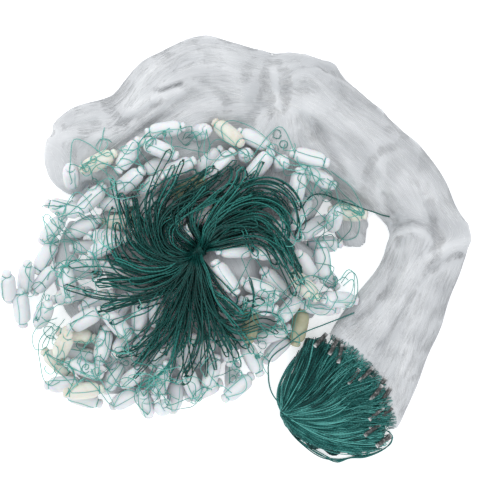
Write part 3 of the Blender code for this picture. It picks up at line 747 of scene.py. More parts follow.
def layThreads(name, keep, seed):
    spots, ways = pointsOf(nettingFolds.data), pointsOf(nettingFolds.data, "normal")
    away = np.linalg.norm(spots[:, :2] - np.array(plan(*threads["heap"])[:2]), axis=1)
    some = np.arange(len(spots)) % threads["left in the heap"] == 0
    fit = ((ways[:, 2] > -0.1) & (spots[:, 2] > 0.004) & keep(*spots[:, :2].T)
           & (some | (away > threads["heap radius"])))
    rows = np.random.default_rng(seed).choice(np.flatnonzero(fit), threads["count"],
                                              replace=False)
    lines, normals = combThreads([(spots[row], flowAt(spots[row])) for row in rows])
    taper = np.ones(lines.shape[1])
    taper[[0, 1]] = taper[[-1, -2]] = threads["ends"]
    # the threads carry the skin's painted light and shade, and painted shade where they turn away
    # from the top
    tones = threads["tone"] + paintedLightAndTone(lines.reshape(-1, 3)).reshape(lines.shape[:2])
    tones = tones + threads["uneven"] * (dice.random((len(lines), 1)) - 0.3)
    tones -= netting["painted edge shade"] * np.clip(1 - normals[:, :, 2], 0, 1) ** 2
    thick = threads["radius"] * taper * np.ones((len(lines), 1))
    dress(sweep(name, [(lines, thick, tones)], sides=3), nettingYarn, "netting")


layThreads("nettingThreadsLeft", lambda x, y: x < -0.02, 3)
layThreads("nettingThreadsMiddle", lambda x, y: (x >= -0.02) & ((x < 0.17) | (y > 0.12)), 5)
layThreads("nettingThreadsRight", lambda x, y: (x >= 0.13) & (y < 0.14), 4)
print("netting threads laid")

# foam floats: those of the frame, and the ones tucked in between them
floats = {
    "length": 0.0615, "radius": 0.0121, "sides": 16, "highest": 0.096, "in the frame": 47,
    "squareness": 2.7, "flats": 0.965, "uneven": 0.00045,
    # a tucked float rises by steps until it is free, and is left out where that costs too much
    "step up": 0.0018, "shift costs": 0.0012, "lean costs": 0.0001, "listed cost": 0.036,
    "scattered cost": 0.012,
    "cream": (9, 10, 25, 29, 32), "olive": (20, 44),
    # share of the length from one end, share of the radius
    "profile": [
        (0.0, 0.2), (0.006, 0.36), (0.022, 0.5), (0.048, 0.59), (0.08, 0.6), (0.106, 0.57),
        (0.12, 0.5), (0.129, 0.46), (0.138, 0.55), (0.15, 0.69), (0.176, 0.81), (0.22, 0.91),
        (0.29, 0.975), (0.39, 1.0), (0.61, 1.0), (0.71, 0.975), (0.78, 0.91), (0.824, 0.81),
        (0.85, 0.69), (0.862, 0.55), (0.871, 0.46), (0.88, 0.5), (0.894, 0.57), (0.92, 0.6),
        (0.952, 0.59), (0.978, 0.5), (0.994, 0.36), (1.0, 0.2)],
    # plan x, plan y, heading and pitch in degrees, and the foam where it isn't white
    "tucked": [
        (113, 200, 0, 0), (110, 238, -8, 0), (90, 247, 4, 0), (76, 299, 15, 0), (81, 354, -10, 0),
        (123, 339, 59, 0), (115, 375, 60, 0), (142, 338, 38, 0), (134, 379, 40, 35),
        (161, 401, 30, 60), (165, 352, 50, 0), (216, 376, 75, 0), (250, 325, 86, 0, "olive"),
        (275, 333, 20, 0), (262, 310, -10, 0), (303, 292, -45, 30, "cream"), (315, 263, 95, 0),
        (283, 161, 20, 60), (222, 160, 50, 0), (161, 151, -23, 0), (200, 134, 10, 60),
        (131, 176, 40, 0), (238, 240, 5, 0), (214, 277, -25, 0), (233, 277, -55, 0),
        (188, 238, 70, 50), (120, 222, 3, 0, "cream"), (86, 386, 5, 0, "cream"), (270, 195, 20, 0),
        (250, 190, 60, 0), (304, 208, 60, 0), (126, 311, 50, 0), (205, 352, 60, 20),
        (225, 345, 100, 0), (98, 262, 30, 0), (120, 270, -30, 0), (283, 235, 60, 0),
        (196, 376, 110, 20), (45, 314, 60, 30), (222, 291, -20, 0), (279, 279, -35, 0),
        (262, 308, -15, 0), (206, 219, 20, 0), (70, 281, 100, 20), (88, 318, 30, 10),
        (90, 371, -20, 0), (150, 186, 40, 30), (296, 192, 80, 30), (238, 386, 40, 0),
        (70, 340, 60, 30, "cream"), (108, 246, 30, 40), (314, 300, 12, 0), (264, 250, 15, 0),
        (176, 170, 25, 0), (160, 378, 70, 0), (112, 322, -50, 0), (262, 168, 50, 0),
        (178, 226, 60, 0), (292, 232, 50, 0), (326, 220, 78, 60)],
    # places where more floats fill the gaps: plan x, plan y, spread, how many are tried
    "scattered": [
        (100, 170, 18, 4), (75, 200, 12, 3), (110, 205, 20, 5), (60, 240, 16, 4), (45, 275, 14, 4),
        (85, 270, 20, 6), (58, 312, 14, 4), (90, 330, 20, 6), (78, 362, 13, 4), (115, 370, 16, 5),
        (150, 383, 14, 5), (185, 380, 12, 4), (215, 370, 15, 5), (250, 358, 14, 4),
        (262, 330, 18, 5), (300, 308, 16, 4), (322, 282, 12, 3), (326, 245, 12, 3),
        (300, 182, 16, 4), (275, 162, 14, 4), (240, 152, 14, 4), (200, 152, 16, 4),
        (160, 160, 16, 4), (135, 190, 16, 4), (225, 250, 14, 3), (140, 300, 20, 5),
        (180, 340, 16, 4)],
}


def turnBody():
    # one round of the body at a time: extruded along it, then drawn in or out
    profile, length = floats["profile"], floats["length"]
    bpy.ops.mesh.primitive_circle_add(vertices=floats["sides"], fill_type="NGON",
                                      radius=profile[0][1] * floats["radius"],
                                      location=(0, 0, 0))
    body = bpy.context.active_object
    editAll()
    for (before, thin), (after, wide) in zip(profile, profile[1:]):
        bpy.ops.mesh.extrude_region_move(TRANSFORM_OT_translate={
            "value": (0, 0, (after - before) * length)})
        grow = wide / thin
        bpy.ops.transform.resize(value=(grow, grow, 1),
                                 center_override=(0, 0, after * length))
    bpy.ops.mesh.select_all(action="SELECT")
    bpy.ops.mesh.normals_make_consistent(inside=False)
    bpy.ops.object.mode_set(mode="OBJECT")
    body.data.transform(Matrix.Rotation(math.pi / 2, 4, "Y")
                        @ Matrix.Translation((0, 0, -length / 2)))
    # the cut foam is flatter on four sides
    spots = pointsOf(body.data)
    angle, power = np.arctan2(spots[:, 2], spots[:, 1]), floats["squareness"]
    corner = (np.abs(np.cos(angle)) ** power + np.abs(np.sin(angle)) ** power) ** (-1 / power)
    spots[:, 1:] *= (floats["flats"] * corner)[:, None]
    movePoints(body.data, spots)
    body.select_set(False)
    return body


def turnAlong(way):
    return way.to_track_quat("X", "Z").to_matrix()


def poseOfNode(name):
    # the middle of a turned CAD node and the way it lies
    spots = np.unique(np.round(pointsOf(nodes[name].data), 6), axis=0)
    middle = spots.mean(0)
    return Vector(middle), Vector(np.linalg.svd(spots - middle)[2][0])


def copyBody(pattern, name, middle, along, roll, lumps):
    # a copy of a turned body with its own mesh, laid in place, a little uneven
    piece = newObject(name, pattern.data.copy())
    mesh = piece.data
    mesh.name = name
    salt = Vector((chance.random() * 50, 0, 0))
    spots = pointsOf(mesh)
    for row, spot in enumerate(spots):
        spots[row] += np.array(noise.noise_vector(Vector(spot) * 55 + salt)) * lumps
    movePoints(mesh, spots)
    mesh.transform(Matrix.Translation(middle) @ turnAlong(along).to_4x4()
                   @ Matrix.Rotation(roll, 4, "X"))
    mesh.shade_smooth()
    return piece


def layFloat(name, middle, along):
    piece = copyBody(floatBody, name, middle, along, chance.random() * 6.28, floats["uneven"])
    floatPlaces.append((middle, along))
    floatSkins.append(BVHTree.FromPolygons([v.co for v in piece.data.vertices], floatFaces))
    return piece


def layFrameFloats():
    for number in range(1, floats["in the frame"] + 1):
        node = f"float_{number:02d}"
        foam = next((kind for kind in ("cream", "olive") if number in floats[kind]), "white")
        piece = layFloat(f"foamFloat{number:02d}", *poseOfNode(node))
        yield dress(piece, foams[foam], foam, node)


floatBody = turnBody()
floatFaces = [tuple(p.vertices) for p in floatBody.data.polygons]
floatPlaces, floatSkins = [], []     # each float's middle and the way it lies, and its skin
laidFloats = list(layFrameFloats())
looseEnd = [Vector(spot) for spot in smoothLine(routeOf("floatLineEnd"), 40)]


def skinTop(x, y):
    return max(0.0, topAt(nettingTree, x, y))


def hidesLooseEnd(middle, along):
    # whether a float there lies over the float line's loose end
    for spot in looseEnd:
        reach = max(-0.5, min(0.5, (spot - middle).dot(along) / floats["length"]))
        near = middle + along * reach * floats["length"]
        if (spot - near).xy.length < floats["radius"] and near.z > spot.z - 0.008:
            return True
    return False


def headed(heading, pitch):
    angle, tip = math.radians(heading), math.radians(pitch)
    return Vector((math.cos(angle) * math.cos(tip), math.sin(angle) * math.cos(tip),
                   math.sin(tip)))


def settle(feeler, x, y, heading, pitch, shifts, limit):
    # the lowest place near a spot where a float is clear of the floats around it
    best = None
    for shift in shifts:
        spot = plan(x + shift[0], y + shift[1])
        base = skinTop(spot.x, spot.y) + 0.6 * floats["radius"]
        for lean in (pitch, pitch + 14, pitch - 14):
            along = headed(heading, lean)
            turn = turnAlong(along)
            shape = [turn @ v for v in feeler]
            start = max(base, 0.0006 - min(v.z for v in shape))
            highest = max(v.z for v in shape)
            for rise in range(16):
                lift = rise * floats["step up"]
                cost = (lift + floats["shift costs"] * math.hypot(*shift)
                        + abs(lean - pitch) * floats["lean costs"])
                if cost > limit or best and cost >= best[0]:
                    break
                middle = Vector((spot.x, spot.y, start + lift))
                if middle.z + highest > floats["highest"] or hidesLooseEnd(middle, along):
                    break
                skin = BVHTree.FromPolygons([v + middle for v in shape], floatFaces)
                if not any((middle - other).length < floats["length"] and skin.overlap(around)
                           for (other, _), around in zip(floatPlaces, floatSkins)):
                    best = (cost, middle, along)
                    break
    return best


def tuckFloats():
    # those listed, then those that fill the gaps
    feeler = [Vector(v.co) * 1.005 for v in floatBody.data.vertices]
    close = [(0, 0), (5, 0), (-5, 0), (0, 5), (0, -5)]
    near = [(0, 0), (3, 0), (-3, 0), (0, 3), (0, -3), (4, 4), (-4, 4), (4, -4), (-4, -4),
            (7, 0), (-7, 0), (0, 7), (0, -7)]
    wanted = [(x, y, heading, pitch, foam[0] if foam else "white", near, floats["listed cost"])
              for x, y, heading, pitch, *foam in floats["tucked"]]
    for x, y, spread, count in floats["scattered"]:
        for _ in range(count):
            wanted.append((chance.gauss(x, 0.6 * spread), chance.gauss(y, 0.6 * spread),
                           chance.uniform(0, 180), chance.choice((0, 0, 15, 35, 60)),
                           "white", close, floats["scattered cost"]))
    parts = {foam: [] for foam in foams}
    for number, (x, y, heading, pitch, foam, shifts, limit) in enumerate(wanted):
        best = settle(feeler, x, y, heading, pitch, shifts, limit)
        if best:
            parts[foam].append(layFloat(f"tucked{number}", *best[1:]))
    for foam, pieces in parts.items():
        yield dress(joinAll("tuckedFloats" + foam.capitalize(), pieces), foams[foam], foam)


laidFloats += tuckFloats()
bpy.data.objects.remove(floatBody)
print("floats laid:", len(floatPlaces))


# the heap's height over the plan, for laying twine on it
class HeightMap:
    def __init__(self, tree, corner, span, cell):
        self.corner, self.cell = np.array(corner), cell
        self.top = np.array([[
            topAt(tree, *(self.corner + (np.array((i, j)) + 0.5) * cell), 0.5)
            for j in range(int(span[1] / cell))] for i in range(int(span[0] / cell))])
        self.widen()

    def widen(self):
        # each cell takes the highest of its neighbours
        self.wide = np.max([np.roll(self.top, (i, j), (0, 1))
                            for i in (-1, 0, 1) for j in (-1, 0, 1)], axis=0)

    def cells(self, spots):
        at = ((spots - self.corner) / self.cell).astype(int)
        return tuple(np.clip(at[..., k], 0, self.top.shape[k] - 1) for k in (0, 1))

    def under(self, spots):
        return self.wide[self.cells(spots)]

    def raiseTo(self, lines, radius):
        dense = np.concatenate([lines[:, :-1] * (1 - t) + lines[:, 1:] * t
                                for t in (0, 0.25, 0.5, 0.75)], axis=1)
        np.maximum.at(self.top, self.cells(dense[..., :2]), dense[..., 2] + radius)
        self.widen()


heapTop = 0.1085     # no twine lies higher
heapMap = {"corner": (-0.39, -0.36), "span": (0.78, 0.72), "cell": 0.002}
heap = HeightMap(treeOf(nettingFolds.data, *(piece.data for piece in laidFloats)), **heapMap)
print("heap measured")


def slackOver(plans, radius, rounds=50, stiff=0.7):
    # heights of lines that lie on the heap like slack twine
    lowest = heap.under(plans) + radius + 0.0002
    heights = lowest.copy()
    for _ in range(rounds):
        middle = (heights[:, :-2] + heights[:, 2:]) / 2
        heights[:, 1:-1] = np.maximum(lowest[:, 1:-1],
                                      (1 - stiff) * heights[:, 1:-1] + stiff * middle)
    heights = np.minimum(heights, heapTop)
    return np.concatenate([plans, heights[..., None]], axis=-1)


def ripple(plans, size, waves):
    # a slow sideways wander along each line
    t = np.linspace(0, 1, plans.shape[1])
    for line in plans:
        for axis in (0, 0, 1, 1):
            line[:, axis] += size * dice.normal() * np.sin(
                math.pi * (waves * (0.5 + dice.random()) * t * 2 + 2 * dice.random()))
    return plans


# the float line's hank: pairs of twine from the tie out over the heap and back
hank = {
    "tie": (200, 251), "tie radius": 0.0095, "twine radius": 0.00105, "batches": 9,
    "strays": 0.5, "more": 1.08, "drift": 0.4, "swing": 0.36, "steps": 76, "knots": 0.3,
    "ripple": (0.0014, 2.6), "knot": 0.002, "knot radius": 0.00085,
    "gathered within": 0.032, "bound within": 0.022, "far corner": (0.38, 0.35, 0.0),
    # pairs, then plan x, plan y and spread in steps
    "groups": [
        (26, [(214, 234, 6), (230, 216, 9), (248, 203, 11), (265, 199, 12), (280, 206, 11),
              (288, 222, 10), (288, 238, 10)]),
        (12, [(214, 238, 5), (234, 226, 8), (256, 221, 10), (272, 232, 11), (284, 252, 11),
              (294, 276, 12)]),
        (14, [(207, 232, 5), (220, 212, 7), (236, 195, 9), (247, 180, 12), (250, 164, 16)]),
        (8, [(216, 246, 4), (236, 240, 6), (258, 238, 8), (276, 250, 9), (288, 272, 9),
             (300, 300, 10)]),
        (16, [(186, 257, 5), (170, 258, 9), (150, 248, 12), (140, 228, 13), (135, 204, 12),
              (134, 182, 13)]),
        (12, [(184, 256, 5), (168, 250, 8), (158, 232, 10), (160, 208, 12), (170, 184, 13),
              (182, 158, 13)]),
        (13, [(184, 254, 5), (168, 246, 11), (164, 226, 13), (178, 208, 13), (202, 196, 12),
              (226, 182, 11), (246, 168, 13)]),
        (7, [(184, 260, 5), (158, 268, 8), (130, 262, 9), (119, 244, 8), (120, 222, 8),
             (126, 202, 8)]),
        (10, [(186, 262, 5), (170, 274, 8), (142, 278, 12), (112, 272, 16), (84, 270, 19)]),
        (6, [(186, 266, 5), (172, 288, 9), (146, 298, 13), (118, 304, 15), (96, 308, 16)]),
        (13, [(192, 270, 6), (181, 296, 12), (166, 324, 18), (142, 346, 25), (120, 358, 28)]),
        (16, [(195, 272, 6), (190, 300, 11), (184, 336, 18), (172, 368, 24), (166, 386, 24)]),
        (13, [(198, 272, 6), (198, 302, 10), (204, 336, 16), (210, 366, 20), (208, 386, 20)]),
        (10, [(200, 268, 5), (205, 292, 9), (214, 318, 12), (228, 342, 15), (240, 364, 15)]),
        (8, [(202, 268, 5), (208, 288, 8), (222, 310, 10), (242, 314, 11), (252, 296, 11),
             (247, 272, 10)]),
        (7, [(202, 270, 5), (212, 298, 8), (236, 322, 11), (262, 318, 12), (280, 326, 12)]),
        (5, [(186, 264, 4), (152, 282, 8), (112, 282, 10), (82, 278, 8), (58, 276, 5)]),
        (7, [(196, 238, 4), (188, 224, 7), (190, 208, 8), (206, 196, 9), (230, 186, 12)]),
        (6, [(190, 244, 4), (178, 234, 6), (176, 216, 8), (190, 200, 10), (212, 180, 13)]),
        (5, [(212, 240, 4), (226, 228, 6), (246, 224, 8), (262, 240, 10), (268, 262, 12)])],
}


def hairpin(group, share, reach, gap):
    # plan points out along a group's rows to a share of its reach, round, and back
    line = smoothLine([(*hank["tie"], 0.0), *group], 60)
    line = line[:max(14, int(57 * reach))]
    way = unit(np.gradient(line[:, :2], axis=0))
    across = np.stack([way[:, 1], -way[:, 0]], 1)
    t = np.linspace(0, 1, len(line))
    drift = (dice.normal() * hank["drift"] * t + hank["swing"] * dice.random()
             * np.sin(math.pi * (1 + 2 * dice.random()) * t + 6 * dice.random()))
    side = (share + drift)[:, None] * line[:, 2:3]
    spread = gap * np.linspace(0.25, 1, len(line))[:, None] ** 1.5
    out = line[:, :2] + across * (side + spread)
    back = line[:, :2] + across * (side - spread)
    tip = line[-1, :2] + across[-1] * side[-1] + way[-1] * gap * 1.3
    return np.vstack([out, tip[None], back[::-1]])


def drawPairs():
    pairs = []
    for count, group in hank["groups"]:
        for _ in range(round(count * hank["more"])):
            share = float(np.clip(dice.normal() * 0.55, -1.2, 1.2))
            reach = 1.06 - 0.5 * dice.random() ** 1.7
            gap = 0.8 + 2.8 * dice.random() ** 2
            if dice.random() < hank["strays"]:
                share, gap, reach = share * 1.7, gap + 2.5 * dice.random(), reach * 0.92
            pairs.append(hairpin(group, share, reach, gap))
    dice.shuffle(pairs)
    return pairs


def layHank():
    pairs, radius, steps = drawPairs(), hank["twine radius"], hank["steps"]
    tie = np.array(plan(*hank["tie"])[:2])
    axis = unit(np.array([1.0, 0.85]))
    across = np.array([-axis[1], axis[0]])
    tieHeight = heap.under(tie[None])[0] + hank["tie radius"] + 0.001
    lines, size = [], len(pairs) // hank["batches"] + 1
    for start in range(0, len(pairs), size):
        # gathered at the tie, and laid over those before
        plans = ripple(np.array([planLine(pair, steps) for pair in pairs[start:start + size]]),
                       *hank["ripple"])
        many = len(plans)
        angle, depth = dice.random(many) * 2 * math.pi, np.sqrt(dice.random(many))
        slot = hank["tie radius"] * depth[:, None] * np.stack([np.cos(angle), np.sin(angle)], 1)
        away = np.linalg.norm(plans - tie, axis=2)
        hold = np.clip(1 - away / hank["gathered within"], 0, 1) ** 1.5
        core = tie + ((plans - tie) @ axis)[..., None] * axis
        gathered = core + slot[:, None, :1] * across
        plans = plans * (1 - hold[..., None]) + gathered * hold[..., None]
        laid = slackOver(plans, radius)
        outer = laid.copy()
        # what is bound at the tie raises nothing: it is noted in a far corner of the map
        outer[away < hank["bound within"]] = hank["far corner"]
        laid[..., 2] = laid[..., 2] * (1 - hold) + (tieHeight + slot[:, None, 1]) * hold
        laid[..., 2] = np.maximum(laid[..., 2], heap.under(plans) * (hold < 0.2) + radius)
        lines.append(laid)
        heap.raiseTo(outer, radius * 0.7)
    lines = np.concatenate(lines)
    away = np.linalg.norm(lines[..., :2] - tie, axis=2)
    # painted shade: darker near the tie where the turns crowd, lighter out towards their tips
    tones = (0.75 * dice.random((len(lines), 1)) ** 1.8
             + 0.28 * np.clip((away - 0.05) / 0.09, 0, 1))
    dress(sweep("floatLineTwine", [(lines, radius, tones)]), floatTwine, "float_twine",
          "float_line")
    return lines, tieHeight


hankLines, tieHeight = layHank()
print("float line laid:", len(hankLines), "pairs")

# the lead line's fan: a core of packed turns, the turns on top, and the ragged rim
fan = {
    "apex": (281, 413), "rim middle": (290, 430), "rim": 96, "voxel": 0.0022,
    "turns": 680, "steps": 26, "twine radius": 0.00064, "layers": 0.0015, "deepest": 0.0022,
    "lowest": -56, "opens": 134,      # degrees
    "smoothed": 5, "sunk": 0.0026, "ridges": 0.0022, "grain": 0.0009,     # the core
    "loop steps": 60, "loop radius": 0.0008,
    # bearing in degrees, and there: how far the fan reaches in steps, how far its turns bow
    # out, and how much lighter or darker they are painted: painted highlight low on the fan,
    # painted shade high on it
    "reach": [
        (-58, 18), (-53, 31), (-46, 41), (-39, 50), (-31, 73), (-24, 97), (-16, 110), (8, 108),
        (20, 105), (32, 105), (44, 105), (56, 101), (67, 88), (80, 44)],
    "bow": [(-56, 0.02), (-20, 0.10), (10, 0.17), (40, 0.18), (62, 0.07), (78, -0.10)],
    "shade": [(-56, 0.12), (-25, 0.20), (5, 0.16), (30, -0.02), (50, -0.20), (78, -0.10)],
    # plan x, plan y and heading of the sinkers that aren't in the frame
    "more sinkers": [
        (321, 346, 63), (338, 350, 75), (348, 357, 70), (364, 382, 50), (369, 378, 50),
        (379, 384, 54), (384, 394, 54), (381, 404, 47), (384, 412, 44), (376, 421, 39),
        (384, 440, 33), (371, 428, 38)],
    # plan x, plan y and height in millimetres along each
    "loose loops": [
        [(281, 413, 6), (288, 428, 2), (300, 442, 1.2), (318, 453, 1.0), (336, 462, 1.0),
         (350, 458, 1.0), (366, 457, 1.2), (384, 449, 2.0), (392, 438, 8), (388, 430, 18)],
        [(281, 413, 6), (290, 430, 2), (304, 444, 1.2), (322, 456, 1.0), (340, 459, 1.0),
         (356, 456, 1.2), (374, 453, 2), (390, 444, 4), (391, 434, 12), (384, 428, 20)],
        [(281, 412, 8), (277, 400, 2), (279, 384, 1.2), (288, 368, 1.2), (302, 352, 1.5),
         (314, 340, 8), (322, 336, 24)],
        [(281, 412, 8), (278, 398, 2), (281, 382, 1.2), (291, 364, 1.2), (305, 348, 3),
         (318, 338, 20)],
        [(281, 412, 8), (279, 396, 3), (284, 380, 2), (295, 362, 3), (309, 346, 8),
         (322, 338, 26)]],
    "loop tones": [0.4, 0.55, 0.45, 0.6, 0.35, 0.5, 0.3, 0.45, 0.6],
}
fanTree = treeOf(nodes["lead_line"].data)
fanApex = np.array(plan(*fan["apex"])[:2])


def between(rows, place):
    # the value at a place, from rows of places and values
    return float(np.interp(place, *zip(*rows)))


def reachAt(bearing):
    # how far the fan reaches, where the rim's circle doesn't cut it
    span = between(fan["reach"], bearing)
    dx, dy = math.cos(math.radians(bearing)), -math.sin(math.radians(bearing))
    ox, oy = (fan["apex"][k] - fan["rim middle"][k] for k in (0, 1))
    b, c = ox * dx + oy * dy, ox * ox + oy * oy - fan["rim"] ** 2
    return min(span, -b + math.sqrt(max(b * b - c, 0)))


def makeFanCore():
    piece = copyOfNode("leadLineCore", "lead_line", fan["voxel"], fan["smoothed"])
    mesh = piece.data
    spots, ways = pointsOf(mesh), pointsOf(mesh, "normal")
    tones = np.zeros(len(spots))
    for row, (spot, way) in enumerate(zip(spots, ways)):
        dx, dy = spot[:2] - fanApex
        bearing, away = math.atan2(dy, dx), math.hypot(dx, dy)
        ridge = noise.noise((bearing * 26, away * 12, 0.0))
        fine = noise.noise((bearing * 70, away * 16, 4.0))
        spots[row] -= way * (fan["sunk"] - fan["ridges"] * ridge - fan["grain"] * fine)
        over = away / planStep - reachAt(math.degrees(bearing)) + 6
        if bearing < -0.4 and over > 0 and math.hypot(way[0], way[1]) > 0.3:
            # drawn in where the fan's lower edge is thin
            spots[row, :2] -= (dx / away * over * planStep, dy / away * over * planStep)
        # painted shade: lighter on the ridges, darker in the grooves between them
        tones[row] = 0.02 + 0.12 * ridge
    spots[:, 2] = np.maximum(spots[:, 2], 0.0)
    movePoints(mesh, spots)
    addTone(mesh, tones)
    corners = np.zeros(len(mesh.loops), np.int32)
    mesh.loops.foreach_get("vertex_index", corners)
    offset = spots[corners][:, :2] - fanApex
    mesh.uv_layers.new(name="length").data.foreach_set("uv", np.stack([
        np.arctan2(offset[:, 1], offset[:, 0]) * 14,
        np.hypot(offset[:, 0], offset[:, 1])], 1).ravel())
    mesh.shade_smooth()
    dress(piece, leadTwine, "lead_twine", "lead_line")


def layTurns():
    lines, tones = [], []
    for number in range(fan["turns"]):
        bearing = fan["lowest"] + fan["opens"] * (number + dice.random()) / fan["turns"]
        reach = reachAt(bearing) * (0.97 + 0.05 * dice.random() - 0.1 * dice.random() ** 2)
        bow = between(fan["bow"], bearing) + 0.03 * dice.normal()
        angle = math.radians(bearing)
        phase, swing = 6.28 * dice.random(), 0.9 * dice.random()
        height = fan["layers"] * dice.normal()
        plans = []
        for t in np.linspace(0, 1, fan["steps"]):
            way = reach * t
            side = reach * bow * math.sin(math.pi * t) + swing * math.sin(9 * t + phase)
            start = 3.2 * (1 - t) * math.sin(phase * 3)
            x = fan["apex"][0] + way * math.cos(angle) + side * math.sin(angle)
            y = fan["apex"][1] - way * math.sin(angle) + side * math.cos(angle) + start
            plans.append(plan(x, y)[:2])
        tops = np.array([topAt(fanTree, x, y) for x, y in plans])
        heights = np.convolve(np.pad(tops, 2, "edge"), np.ones(5) / 5, "valid") + height
        heights = np.maximum(heights, tops - fan["deepest"])
        heights[:2] += 0.001
        lines.append([(x, y, max(z, 0.0009)) for (x, y), z in zip(plans, heights)])
        # painted light and shade: lighter low on the fan and darker high on it, and each upper
        # turn lighter near the apex and darker at the rim; the noise is their own uneven tone
        own = 0.02 + 0.95 * dice.random() ** 1.8 + between(fan["shade"], bearing)
        fade = 0.16 * min(1.0, max(0.0, (bearing + 10) / 40))
        tones.append([own + fade * math.cos(math.pi * k / (fan["steps"] - 1))
                      + 0.26 * noise.noise((x * 30, y * 30, 2.0))
                      + 0.14 * noise.noise((x * 90, y * 90, 5.0))
                      for k, (x, y) in enumerate(plans)])
    tones = np.clip(tones, 0, 1)
    dress(sweep("leadLineTwine", [(lines, fan["twine radius"], tones)]), leadTwine, "lead_twine")


# ends and slack: short and ragged over the netting along the rim, or long over the sinkers
fringe = {
    "count": 520, "steps": 11,
    "long": {"inward": -44, "varied": 24, "lean": 0.35, "strays": 20, "curl": 1.2,
             "lift": 0.0045, "tone": 0.15, "lighter": 0.75, "radius": 0.00042},
    "short": {"inward": -12, "varied": 9, "lean": 0.9, "strays": 8, "curl": 3.0,
              "lift": 0.0015, "tone": 0.35, "lighter": 0.6, "radius": 0.0003},
}


def layFringe():
    lines, tones, thick = [], [], []
    rimX, rimY = fan["rim middle"]
    for number in range(fringe["count"]):
        kind = fringe["short" if number % 2 else "long"]
        angle = math.radians(-8 + 80 * dice.random() ** 0.75)
        inward = kind["inward"] + kind["varied"] * dice.random()
        outward = 1 + 9 * dice.random() ** 1.6
        lean = kind["lean"] * dice.normal() - 0.3
        curl, phase = kind["curl"] * dice.random(), 6.28 * dice.random()
        lift = kind["lift"] + 0.004 * dice.random()
        points = []
        for t in np.linspace(0, 1, fringe["steps"]):
            way = fan["rim"] + inward + (outward - inward) * t
            turn = angle + (lean * t * kind["strays"]
                            + curl * math.sin(5 * t + phase)) / fan["rim"]
            spot = plan(rimX + way * math.cos(turn), rimY - way * math.sin(turn))
            top = fanOrSkin(spot)
            points.append((spot.x, spot.y, top + 0.0006 + lift * math.sin(math.pi * t)))
        if top < 0.004:
            continue       # its end would hang over the floor
        lines.append(points)
        tones.append(kind["tone"] + kind["lighter"] * dice.random() ** 1.2)
        thick.append([kind["radius"]] * fringe["steps"])
    lines = np.array(lines)
    for _ in range(2):
        lines[:, 1:-1, 2] = np.maximum(lines[:, 1:-1, 2],
                                       (lines[:, :-2, 2] + lines[:, 2:, 2]) / 2)
    dress(sweep("rimFringe", [(lines, thick, tones)]), leadTwine, "lead_twine")


def fanOrSkin(spot):
    return max(topAt(fanTree, spot.x, spot.y), skinTop(spot.x, spot.y))


def tieCoils(middle, axis, radius, thick, turns, tone=0.4):
    # close turns of twine round a gathered line
    axis = Vector(axis).normalized()
    side = axis.orthogonal().normalized()
    up = axis.cross(side)
    points = []
    for k in range(turns * 12 + 1):
        angle = k * math.pi / 6
        points.append(Vector(middle) + axis * thick * 1.9 * (k / 12 - turns / 2)
                      + (side * math.cos(angle) + up * math.sin(angle)) * radius)
    return np.array(points)[None], thick, [tone]


def layLoops():
    count = fan["loop steps"]
    loops = [smoothLine([plan(x, y, z / 1000) for x, y, z in rows], count)
             for rows in fan["loose loops"]]
    # beside most of them lies a second strand
    belly = np.sin(np.linspace(0, math.pi, count))[:, None]
    loops += [line + np.array((0.0022 * k, 0.0016 * k, 0.0006)) * belly
              for k, line in zip((1, -1, 0.7, -0.8), loops)]
    coils = tieCoils(plan(*fan["apex"], 0.0065) + Vector((0.004, 0, 0)), (1, 0.1, 0.12),
                     0.0066, 0.0007, 5)
    dress(sweep("leadLineLoops", [(loops, fan["loop radius"], fan["loop tones"]), coils],
                sides=6), leadTwine, "lead_twine")


makeFanCore()
layTurns()
layFringe()
layLoops()
print("lead line laid")


# lead sinkers, crimped on the line
sinkers = {"radius": 0.0031, "length": 0.029, "sides": 12, "edge": 0.0007, "crimps": 0.0085,
           "uneven": 0.0002, "steepest": 0.6, "in the frame": 8}


def makeSinker():
    bpy.ops.mesh.primitive_cylinder_add(
        vertices=sinkers["sides"], radius=sinkers["radius"], depth=sinkers["length"],
        location=(0, 0, 0), rotation=(0, math.pi / 2, 0))
    sinker = bpy.context.active_object
    bpy.ops.object.transform_apply(location=True, rotation=True, scale=True)
    bpy.ops.object.mode_set(mode="EDIT")
    for x in (sinkers["crimps"], -sinkers["crimps"], 0):
        bpy.ops.mesh.select_all(action="SELECT")
        bpy.ops.mesh.bisect(plane_co=(x, 0, 0), plane_no=(1, 0, 0))
    bpy.ops.object.mode_set(mode="OBJECT")
    applyModifier(sinker, "BEVEL", width=sinkers["edge"], segments=2, limit_method="ANGLE")
    spots = pointsOf(sinker.data)
    for spot in spots:
        # pressed shut along its seam and nipped at the crimps
        if spot[2] > 0.0024 and abs(spot[1]) < 0.0011:
            spot[2] -= 0.0009
        if abs(spot[2]) < 0.0008 and abs(spot[1]) > 0.002:
            spot[1] *= 1.05
        if 0.005 < abs(spot[0]) < 0.0095:
            spot[2] *= 0.86
    movePoints(sinker.data, spots)
    sinker.select_set(False)
    return sinker


def laySinker(sinker, name, middle, along):
    piece = copyBody(sinker, name, middle, along, 0, sinkers["uneven"])
    # bright at the cut ends
    share = np.abs((pointsOf(piece.data) - np.array(middle)) @ np.array(along))
    share /= sinkers["length"] / 2
    addTone(piece.data, np.clip((share - 0.93) * 12, 0, 0.6) + 0.04)
    return piece


